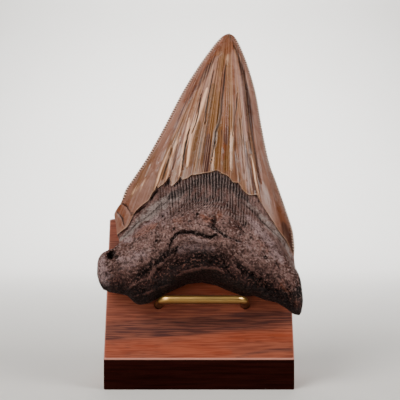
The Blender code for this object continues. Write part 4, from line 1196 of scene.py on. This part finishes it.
# Raised places low on the root get a lighter reddish tone: painted glints.
tone = over(tree, ramp(tree, height, 0.3, 0.9, 0.0, 0.65), tone, over(tree, upward, paint(112, 72, 64), tone))
dust = call(tree, SPECKS, body, "Mask", Scale=1200.0, Size=0.34, Share=0.1)
tone = over(tree, part_of(tree, dust, 0.5), tone, paint(132, 88, 72))
tree.links.new(tone, shader["Base Color"])
print("the bone's colour takes", len(tree.nodes), "nodes")

# %% The bone's dry surface
tree.links.new(ramp(tree, crumbs, 0.0, 1.0, 0.7, 0.38), shader["Roughness"])
pores = call(tree, SPECKS, body, "Mask", Scale=1500.0, Size=0.45, Share=0.6)
grain = calculate(tree, "MULTIPLY_ADD", pores, -0.5, crumbs)
link_bump(tree, shader, grain, 1.0, 0.0014)
shader["Specular IOR Level"].default_value = 0.18
tooth.data.materials.append(BONE)
tooth.data.materials.append(ENAMEL)
tooth.data.polygons.foreach_set("material_index", on_enamel)
print("root:", len(tree.nodes), "nodes")

# %% [markdown]
# ## The wood block
#
# The block is one sawn piece of reddish hardwood, sanded and oiled, with its sharp edges just broken.  Such
# a shape is a smaller prism with a ball rolled over it: each point of the smaller outline moves outwards by
# the ball's radius.  That gives every edge and corner the same small round in one formula.

# %% Outline of the wedge, seen from its side
ARRIS = 0.5
ARC_STEPS = 4  # to a rounded corner
OUTLINE_STEP = 0.6  # mm between points on a side
BLOCK_LEFT, BLOCK_RIGHT = block_low.x / MM, block_high.x / MM
BLOCK_BACK, BLOCK_TOP = block_high.y / MM, block_high.z / MM
SLOPE_TOP = BLOCK_FRONT + (BLOCK_TOP - LIP_HEIGHT) * math.tan(LEAN)
WEDGE = np.array([
    (BLOCK_FRONT, 0.0), (BLOCK_BACK, 0.0), (BLOCK_BACK, BLOCK_TOP), (SLOPE_TOP, BLOCK_TOP),
    (BLOCK_FRONT, LIP_HEIGHT),
])


def inner_outline(corners, inset):
    """Corners moved inwards so that each side moves in by the inset, and each side's outward normal."""
    sides = np.roll(corners, -1, axis=0) - corners
    sides /= np.linalg.norm(sides, axis=1, keepdims=True)
    normals = np.stack([sides[:, 1], -sides[:, 0]], axis=1)
    before = np.roll(normals, 1, axis=0)
    shift = (before + normals) / (1 + (before * normals).sum(axis=1, keepdims=True))
    return corners - inset * shift, normals


def rounded_loop(corners, radius):
    """Points and outward directions round a polygon: an arc at each corner, then even steps to the next."""
    inner, normals = inner_outline(corners, radius)
    points, outward = [], []
    following, preceding = np.roll(inner, -1, axis=0), np.roll(normals, 1, axis=0)
    for here, then, before, after in zip(inner, following, preceding, normals):
        shares = np.linspace(0, 1, ARC_STEPS + 1)[:, None]
        turn = mix(before, after, shares)
        outward.append(turn / np.linalg.norm(turn, axis=1, keepdims=True))
        points.append(np.repeat(here[None], ARC_STEPS + 1, axis=0))
        count = max(int(np.linalg.norm(then - here) / OUTLINE_STEP), 2)
        points.append(mix(here, then, np.linspace(0, 1, count + 1)[1:-1, None]))
        outward.append(np.repeat(after[None], count - 1, axis=0))
    return np.concatenate(points), np.concatenate(outward)


loop, outward = rounded_loop(WEDGE, ARRIS)
print("the wedge's outline has", len(loop), "points")

# %% The block's mesh
quarter = np.linspace(0, math.pi / 2, ARC_STEPS + 1)[:-1]
round_left, round_right = BLOCK_LEFT + ARRIS, BLOCK_RIGHT - ARRIS
COLUMNS = 91
middle_x = np.linspace(round_left, round_right, COLUMNS)
left_x, right_x = round_left - ARRIS * np.cos(quarter), round_right + ARRIS * np.cos(quarter[::-1])
ring_x = np.concatenate([left_x, middle_x, right_x])
ring_out = np.concatenate([np.sin(quarter), np.ones(COLUMNS), np.sin(quarter[::-1])]) * ARRIS
rings = loop[None] + ring_out[:, None, None] * outward[None]
wide_x = np.broadcast_to(ring_x[:, None], rings.shape[:2])
block_points = np.stack([wide_x, rings[..., 0], rings[..., 1]], axis=-1).reshape(-1, 3)
centre = loop.mean(axis=0)
block_points = np.concatenate([block_points, [(BLOCK_LEFT, *centre), (BLOCK_RIGHT, *centre)]]) * MM
around = np.arange(len(ring_x))[:, None] * len(loop) + np.arange(len(loop) + 1) % len(loop)
side_quads = np.stack([around[:-1, :-1], around[1:, :-1], around[1:, 1:], around[:-1, 1:]], -1).reshape(-1, 4)
side_triangles = np.concatenate([side_quads[:, [0, 1, 2]], side_quads[:, [0, 2, 3]]])
hub = len(block_points) - 2
left_end = np.stack([around[0, :-1], around[0, 1:], np.full(len(loop), hub)], -1)
right_end = np.stack([around[-1, 1:], around[-1, :-1], np.full(len(loop), hub + 1)], -1)
block_triangles = np.concatenate([side_triangles, left_end, right_end])
block = mesh_object("wedge_of_wood", block_points, block_triangles, smooth_angle=30.0)
print("block:", len(block_triangles), "triangles,", [round(side / MM, 1) for side in block.dimensions], "mm")

# %% [markdown]
# ## The brass bracket
#
# The bracket is a staple of round brass rod: two legs set in drilled holes and a bar across, bent with a
# small radius.  It is a circle carried along a path.  The path lies in one plane, so the circle's two
# directions are simply the plane's normal and the path's own normal within it, and the tube can't twist.

# %% The path of the rod
ROD = 3.175
BAR_STANDOFF = 9.3
BAR_UP_SLOPE = 20.6
LEG_ENTRY = (-15.6, 17.9)
LEG_CORNER = (-13.9, 16.8)
ROD_BEND = 3.2
LEG_IN_WOOD = 8.0
BEND_STEPS, LEG_STEPS, BAR_STEPS = 14, 14, 30


def leg_place(side, n):
    """A leg's centre (p, n) at height n: the two legs draw together towards the bar."""
    return np.array((mix(LEG_ENTRY[side], LEG_CORNER[side], n / BAR_STANDOFF), n))


def bent(before, corner, after, radius):
    """Points round a corner, on the arc of this radius that touches both sides."""
    back, on = before - corner, after - corner
    back, on = back / np.linalg.norm(back), on / np.linalg.norm(on)
    half_angle = math.acos(float(back @ on)) / 2
    middle = corner + (back + on) / np.linalg.norm(back + on) * radius / math.sin(half_angle)
    start = back * radius / math.tan(half_angle) + corner - middle
    end = on * radius / math.tan(half_angle) + corner - middle
    turn = math.pi - 2 * half_angle
    t = np.linspace(0, 1, BEND_STEPS + 1)[:, None]
    return middle + (np.sin((1 - t) * turn) * start + np.sin(t * turn) * end) / math.sin(turn)


def straight(start, end, count):
    """Points strictly between two places."""
    return mix(start, end, np.linspace(0, 1, count + 2)[1:-1, None])


feet = [leg_place(side, -LEG_IN_WOOD) for side in (0, 1)]
corners = [leg_place(side, BAR_STANDOFF) for side in (0, 1)]
left_bend = bent(feet[0], corners[0], corners[1], ROD_BEND)
right_bend = bent(corners[0], corners[1], feet[1], ROD_BEND)
path = np.concatenate([
    feet[:1], straight(feet[0], left_bend[0], LEG_STEPS),
    left_bend, straight(left_bend[-1], right_bend[0], BAR_STEPS),
    right_bend, straight(right_bend[-1], feet[1], LEG_STEPS), feet[1:],
])
print("the rod is", round(np.linalg.norm(np.diff(path, axis=0), axis=1).sum(), 1), "mm long")

# %% The rod's mesh
ROUND = 48
ahead = np.gradient(path, axis=0)
ahead /= np.linalg.norm(ahead, axis=1, keepdims=True)
aside = np.stack([-ahead[:, 1], ahead[:, 0]], axis=1)
angle = np.arange(ROUND) / ROUND * 2 * math.pi
off_p = aside[:, :1] * np.cos(angle) * ROD / 2
off_n = aside[:, 1:] * np.cos(angle) * ROD / 2
off_q = np.broadcast_to(np.sin(angle) * ROD / 2, off_p.shape)
rod_points = on_slope(path[:, :1] + off_p, BAR_UP_SLOPE + off_q, path[:, 1:] + off_n).reshape(-1, 3)
rod_ends = on_slope(path[[0, -1], 0], BAR_UP_SLOPE, path[[0, -1], 1])
rod_points = np.concatenate([rod_points, rod_ends])
turns = np.arange(len(path))[:, None] * ROUND + np.arange(ROUND + 1) % ROUND
near, far = turns[:-1], turns[1:]
rod_triangles = np.concatenate([
    np.stack([near[:, :-1], near[:, 1:], far[:, 1:]], -1).reshape(-1, 3),
    np.stack([near[:, :-1], far[:, 1:], far[:, :-1]], -1).reshape(-1, 3),
    np.stack([turns[0, 1:], turns[0, :-1], np.full(ROUND, len(rod_points) - 2)], -1),
    np.stack([turns[-1, :-1], turns[-1, 1:], np.full(ROUND, len(rod_points) - 1)], -1),
])
bracket = mesh_object("bracket_of_brass_rod", rod_points, rod_triangles)
out_of_wood = np.concatenate([np.repeat(path[:, 1], ROUND), path[[0, -1], 1]])
point_values(bracket, "out_of_wood", out_of_wood)
under = np.broadcast_to(-np.sin(angle), (len(path), ROUND))
point_values(bracket, "under", np.concatenate([under.ravel(), [0.0, 0.0]]))
print("bracket:", len(rod_triangles), "triangles")

# %% [markdown]
# ## The holes for the legs
#
# The legs go into drilled holes that are a little wider than the rod, so a thin dark ring shows round each.
# A hole is cut by a rod-shaped cutter and a Boolean, which is applied at once: the finished block is then
# one plain mesh, as the export wants it.

# %% Drill the block
HOLE_GAP = 0.12  # round each leg
HOLE_SPARE = 0.6  # the holes go this much deeper than the legs
DRILL_OUT = 3.0  # the drills stand this far out of the slope
for side in (0, 1):
    ends = np.stack([leg_place(side, DRILL_OUT), leg_place(side, -LEG_IN_WOOD - HOLE_SPARE)])
    axis = (ends[1] - ends[0]) / np.linalg.norm(ends[1] - ends[0])
    across = np.array((-axis[1], axis[0])) * (ROD / 2 + HOLE_GAP)
    circle = ends[:, None] + np.cos(angle)[None, :, None] * across
    rise = np.broadcast_to(np.sin(angle) * (ROD / 2 + HOLE_GAP), circle.shape[:2])
    drill_points = on_slope(circle[..., 0], BAR_UP_SLOPE + rise, circle[..., 1]).reshape(-1, 3)
    drill_points = np.concatenate([drill_points, on_slope(ends[:, 0], BAR_UP_SLOPE, ends[:, 1])])
    first, second = np.arange(ROUND), (np.arange(ROUND) + 1) % ROUND
    drill_triangles = np.concatenate([
        np.stack([first, second, second + ROUND], -1), np.stack([first, second + ROUND, first + ROUND], -1),
        np.stack([second, first, np.full(ROUND, 2 * ROUND)], -1),
        np.stack([first + ROUND, second + ROUND, np.full(ROUND, 2 * ROUND + 1)], -1),
    ])
    drill = mesh_object(f"drill_{side}", drill_points, drill_triangles)
    corner = drill_points[drill_triangles]
    volume = np.einsum("ij,ij->i", corner[:, 0], np.cross(corner[:, 1], corner[:, 2])).sum() / 6
    if volume < 0:
        drill.data.flip_normals()
    cut = block.modifiers.new("hole", "BOOLEAN")
    cut.operation, cut.solver, cut.object = "DIFFERENCE", "EXACT", drill
    bpy.context.view_layer.update()
    finished = block.evaluated_get(bpy.context.evaluated_depsgraph_get())
    drilled = bpy.data.meshes.new_from_object(finished)
    block.modifiers.clear()
    block.data = drilled
    bpy.data.objects.remove(drill)
    print("hole", side, "leaves", len(drilled.polygons), "faces")
    print("the drill's volume was", round(volume * 1e9, 1), "mm3")
block.data.name = "wedge_of_wood"

# %% [markdown]
# ## Wood
#
# The grain runs from side to side, and the tree's layers lie nearly level in the block, so dark and light
# bands cross the slope and carry on round the sides.  The broad bands are drawn and stored at the points.
# The fine fibres are noise that is stretched about thirty times along the grain, the pores about eight
# times.

# %% Broad bands of figure, drawn on width and height
FIGURE = {
    "dark_figure": (
        (((-60.0, 20.6), (-36.0, 21.8), (-19.0, 23.6), (0.0, 25.2), (19.0, 26.4), (36.0, 26.8), (70.0, 27.5)),
         3.0, 0.85),
        (((-60.0, 18.0), (-36.0, 18.9), (-27.0, 19.1), (-19.0, 19.6), (-8.0, 20.6), (4.0, 21.6), (16.0, 22.6),
          (36.0, 23.4), (60.0, 24.4)), 1.0, 0.7),
        (((-24.0, 20.4), (-8.0, 22.6), (2.0, 24.2), (12.0, 24.8), (26.0, 24.4)), 1.5, 0.6),
        (((-24.0, 26.6), (-14.0, 28.5), (-6.0, 29.1), (8.0, 29.4)), 0.8, 0.45),
        (((8.0, 26.8), (20.0, 28.2), (36.0, 27.8), (60.0, 27.0)), 1.0, 0.4),
        (((14.0, 25.4), (36.0, 25.0), (60.0, 25.0)), 0.6, 0.5),
        (((-60.0, 27.0), (-36.0, 27.6), (-28.0, 27.8), (-18.0, 29.2)), 0.9, 0.4),
        (((14.0, 12.2), (21.0, 13.8), (27.0, 14.6), (36.0, 14.9), (60.0, 14.0)), 0.8, 0.9),
        (((-70.0, 43.0), (-10.0, 44.5), (14.0, 43.0), (70.0, 45.0)), 2.6, 0.6),
        (((-70.0, 55.0), (-6.0, 53.0), (70.0, 56.0)), 1.8, 0.6),
    ),
    "orange_figure": (
        (((-60.0, 14.8), (-29.9, 15.4), (-22.4, 16.2), (-14.8, 15.5), (-5.3, 14.1), (12.0, 14.1)), 2.6, 1.0),
        (((-10.0, 16.8), (8.0, 18.4), (15.6, 19.2), (23.3, 19.6), (60.0, 19.6)), 2.4, 0.9),
        (((-70.0, 36.0), (0.0, 37.0), (70.0, 35.0)), 3.0, 0.6),
        (((-70.0, 49.0), (70.0, 50.0)), 2.6, 0.6),
    ),
}
print(sum(len(lines) for lines in FIGURE.values()), "bands of figure")

# %% Figure and edges at the points
# The layers bend down towards the back, by DROOP times the square of the distance from the front.
DROOP = 0.006
ON_SLOPE = 0.36  # how far back the slope goes for its rise, so that the bands stay level on it
LIP_SLACK = 0.2
ROUND_THE_LIP = 9.0  # keeps the lip's side edges out of the pale arris
block_at = point_places(block) / MM
drooping = DROOP * (block_at[:, 1] - BLOCK_FRONT) ** 2
drooping = drooping - DROOP * (ON_SLOPE * (block_at[:, 2] - LIP_HEIGHT)) ** 2
figure_plane = np.stack([block_at[:, 0], block_at[:, 2] + drooping], axis=-1)
for name, lines in FIGURE.items():
    point_values(block, name, np.clip(drawn(figure_plane, lines), 0, 1))
on_lip = (block_at[:, 1] < BLOCK_FRONT + LIP_SLACK) & (block_at[:, 2] < LIP_HEIGHT)
point_values(block, "lip", on_lip.astype(float))
behind_front, over_lip = block_at[:, 1] - BLOCK_FRONT, block_at[:, 2] - LIP_HEIGHT
under_slope = (behind_front - over_lip * math.tan(LEAN)) * math.cos(LEAN)
from_side = BLOCK_RIGHT - np.abs(block_at[:, 0]) + ROUND_THE_LIP * (over_lip < 0)
from_arris = np.minimum(np.hypot(behind_front, over_lip), np.hypot(from_side, under_slope))
point_values(block, "from_arris", from_arris)
print("figure on", len(block_at), "points")

# %% Fibres and pores
WOOD, tree, shader = new_material("oiled_hardwood")
body = place(tree, "TexCoord", {}, {}, "Object")
lengthwise = squeezed(tree, body, 0.035, 1.0, 1.0)
broad = call(tree, STREAKS, lengthwise, "Mask", Across=330.0, Along=330.0, Sharpness=0.16)
fibres = call(tree, STREAKS, lengthwise, "Mask", Across=1100.0, Along=1100.0, Sharpness=0.2)
hairs = call(tree, STREAKS, lengthwise, "Fine", Across=700.0, Along=700.0)
pore = call(tree, SPECKS, squeezed(tree, body, 0.12, 1.0, 1.0), "Mask", Scale=1500.0, Size=0.4, Share=0.3)
cloudy = call(tree, UNEVEN, squeezed(tree, body, 0.4, 1.0, 1.0), "Mask", Scale=90.0, Contrast=2.6)
print("the grain takes", len(tree.nodes), "nodes")

# %% Oil, stain, a painted shade on the lip and a painted highlight along the edges
WOOD_STAINS = (
    ("orange_figure", paint(134, 56, 30), 0.9),
    ("dark_figure", paint(62, 34, 32), 0.95),
)
tone = over(tree, cloudy, paint(112, 54, 37), paint(134, 67, 46))
tone = over(tree, part_of(tree, broad, 0.3), tone, paint(92, 46, 36))
tone = lay_stains_and_painted_light(tree, tone, WOOD_STAINS, broad, 0.3, 0.05, 0.9)
tone = over(tree, part_of(tree, fibres, 0.32), tone, paint(74, 34, 28))
tone = over(tree, ramp(tree, hairs, 0.62, 0.36, 0.0, 0.3), tone, paint(190, 112, 84))
tone = over(tree, part_of(tree, pore, 0.45), tone, paint(38, 16, 13))
# The lip's front face is painted nearly black: painted shade, because a vertical face gets little light from
# above.
painted_lip_shade = over(tree, fibres, paint(30, 7, 6), paint(13, 2, 2))
tone = over(tree, part_of(tree, stored(tree, "lip"), 0.97), tone, painted_lip_shade)
# A pale line along the slope's rounded edges: a painted highlight where the arris catches the light.
tone = over(tree, ramp(tree, stored(tree, "from_arris"), 0.5, 0.2, 0.0, 0.7), tone, paint(206, 146, 130))
tree.links.new(tone, shader["Base Color"])
tree.links.new(ramp(tree, hairs, 0.3, 0.7, 0.34, 0.5), shader["Roughness"])
grain = calculate(tree, "MULTIPLY_ADD", pore, -0.8, part_of(tree, hairs, 0.4))
link_bump(tree, shader, grain, 0.3, 0.0002)
dry = calculate(tree, "MULTIPLY_ADD", stored(tree, "lip"), -0.2, 0.2)
tree.links.new(dry, shader["Specular IOR Level"])
block.data.materials.clear()
block.data.materials.append(WOOD)
print("wood:", len(tree.nodes), "nodes")

# %% [markdown]
# ## Brass
#
# The rod was drawn through a die and polished, which leaves fine lines along the bar.  Handling dulled it in
# patches, and a few specks of tarnish stay on it.  Its lower side and the legs where they enter the wood are
# painted darker: painted shade.

# %% Polish, draw lines, tarnish specks and painted shade
BRASS, tree, shader = new_material("brass")
body = place(tree, "TexCoord", {}, {}, "Object")
patches = call(tree, UNEVEN, body, "Mask", Scale=160.0, Contrast=2.4)
lengthwise = squeezed(tree, body, 0.04, 1.0, 1.0)
lines = call(tree, STREAKS, lengthwise, "Mask", Across=2600.0, Along=2600.0, Sharpness=0.2)
stains = call(tree, SPECKS, body, "Mask", Scale=600.0, Size=0.3, Share=0.06)
at_wood = ramp(tree, stored(tree, "out_of_wood"), 2.6, 0.2)
tone = over(tree, patches, paint(236, 196, 122), paint(214, 166, 92))
tone = over(tree, part_of(tree, lines, 0.18), tone, paint(190, 136, 70))
tone = over(tree, part_of(tree, stains, 0.35), tone, paint(120, 78, 36))
# The rod's lower side is painted darker: painted shade.
tone = over(tree, ramp(tree, stored(tree, "under"), -0.2, 0.8, 0.0, 0.85), tone, paint(84, 48, 24))
# The legs are painted dark where they go into the wood: painted shade under the bar.
tone = over(tree, part_of(tree, at_wood, 0.9), tone, paint(46, 24, 12))
tree.links.new(tone, shader["Base Color"])
shader["Metallic"].default_value = 1.0
dull = calculate(tree, "MULTIPLY_ADD", stains, 0.2, ramp(tree, patches, 0.0, 1.0, 0.28, 0.38))
tree.links.new(calculate(tree, "MULTIPLY_ADD", at_wood, 0.25, dull), shader["Roughness"])
link_bump(tree, shader, lines, 0.06, 0.0001)
bracket.data.materials.append(BRASS)
print("brass:", len(tree.nodes), "nodes")

# %% [markdown]
# ## Floor, light and camera
#
# The stand is looked at from straight in front, at about half the height of stand and tooth together.  A
# pale sheet runs level under it and curves up behind.  Two soft lamps stand high, in front to the left and
# to the right, so that the leaning faces shine and everything under a ledge falls dark.  A larger one, low
# at the left, opens those shadows a little, and a fourth lights the sheet from behind the stand.

# %% A pale sheet that curves up behind
FLOOR_NEAR, FLOOR_FAR, FLOOR_HALF, SWEEP = -0.9, 0.45, 1.4, 0.35
FLAT_ROWS, WALL_ROWS, SHEET_COLUMNS = 20, 8, 15
sweep_turn = np.linspace(0, math.pi / 2, 25)[1:]
sheet_y = np.concatenate([
    np.linspace(FLOOR_NEAR, FLOOR_FAR, FLAT_ROWS), FLOOR_FAR + SWEEP * np.sin(sweep_turn),
    np.full(WALL_ROWS, FLOOR_FAR + SWEEP),
])
sheet_z = np.concatenate([
    np.zeros(FLAT_ROWS), SWEEP * (1 - np.cos(sweep_turn)), SWEEP + np.linspace(0.1, 1.2, WALL_ROWS),
])
sheet_x = np.linspace(-FLOOR_HALF, FLOOR_HALF, SHEET_COLUMNS)
sheet = np.stack(np.broadcast_arrays(sheet_x, sheet_y[:, None], sheet_z[:, None]), axis=-1)
sheet_index = np.arange(sheet[..., 0].size).reshape(sheet.shape[:2])
floor = mesh_object("pale_floor", sheet.reshape(-1, 3), grid_triangles(sheet_index))
print("the sheet reaches", [round(side, 2) for side in floor.dimensions], "m")

# %% Pale paper
PAPER, tree, shader = new_material("pale_paper")
body = place(tree, "TexCoord", {}, {}, "Object")
faint = call(tree, UNEVEN, body, "Mask", Scale=6.0, Contrast=1.5)
tree.links.new(over(tree, faint, paint(222, 220, 216), paint(228, 226, 222)), shader["Base Color"])
shader["Roughness"].default_value = 0.8
floor.data.materials.append(PAPER)
print("paper:", len(tree.nodes), "nodes")

# %% Lights
def area_light(name, place_of, target, size, power, tone):
    """A square lamp at a place, turned so that it faces the target."""
    lamp = bpy.data.lights.new(name, "AREA")
    lamp.size, lamp.energy, lamp.color = size, power, tone
    made = bpy.data.objects.new(name, lamp)
    made.location = place_of
    towards = Vector(target) - Vector(place_of)
    made.rotation_euler = towards.to_track_quat("-Z", "Y").to_euler()
    bpy.context.scene.collection.objects.link(made)
    return made


area_light("key", (-0.3, -0.3, 0.52), (0.0, 0.0, 0.07), 0.3, 3.4, (1.0, 0.97, 0.93))
area_light("second", (0.42, -0.22, 0.44), (0.0, 0.0, 0.08), 0.26, 2.3, (1.0, 0.97, 0.94))
area_light("fill", (-0.42, -0.62, 0.15), (0.0, 0.0, 0.05), 0.5, 2.2, (1.0, 0.98, 0.96))
backdrop = area_light("backdrop", (0.0, 0.45, 1.0), (0.0, 0.85, 0.05), 0.6, 9.0, (1.0, 1.0, 1.0))
backdrop.data.spread = math.radians(80)
world = bpy.data.worlds.new("room")
world.use_nodes = True
around_it = world.node_tree.nodes["Background"].inputs
around_it["Color"].default_value = (0.9, 0.93, 1.0, 1.0)
around_it["Strength"].default_value = 0.06
bpy.context.scene.world = world

# %% Camera
CAMERA_PLACE = (0.00038, -0.2993, 0.0716)
lens = bpy.data.cameras.new("front_view")
lens.sensor_width, lens.lens = 36.0, 66.92
lens.clip_start = 0.01
camera = bpy.data.objects.new("front_view", lens)
camera.location = CAMERA_PLACE
camera.rotation_euler = (math.radians(90.0), 0.0, 0.0)
bpy.context.scene.collection.objects.link(camera)
bpy.context.scene.camera = camera
print("the camera stands", round(-CAMERA_PLACE[1], 3), "m in front")

# %% [markdown]
# ## Joining the fine pieces to the frame
#
# Nothing moves on this object, so every piece rides on the one body.  Each new piece hides the solid it
# stands for.  Last, how far each piece stays inside its solid's box is printed.

# %% Ride, and hide the solid that each piece stands for
for piece, node, finish in (
    (tooth, "tooth", "fossil"), (block, "wood_block", "oiled_hardwood"), (bracket, "brass_bracket", "brass"),
):
    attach(piece, "root")
    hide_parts(node)
    low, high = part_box(node)
    places = point_places(piece)
    room = min((places.min(axis=0) - np.array(low)).min(), (np.array(high) - places.max(axis=0)).min())
    print(piece.name, "stays inside its solid's box by", round(1000 * float(room), 2), "mm")
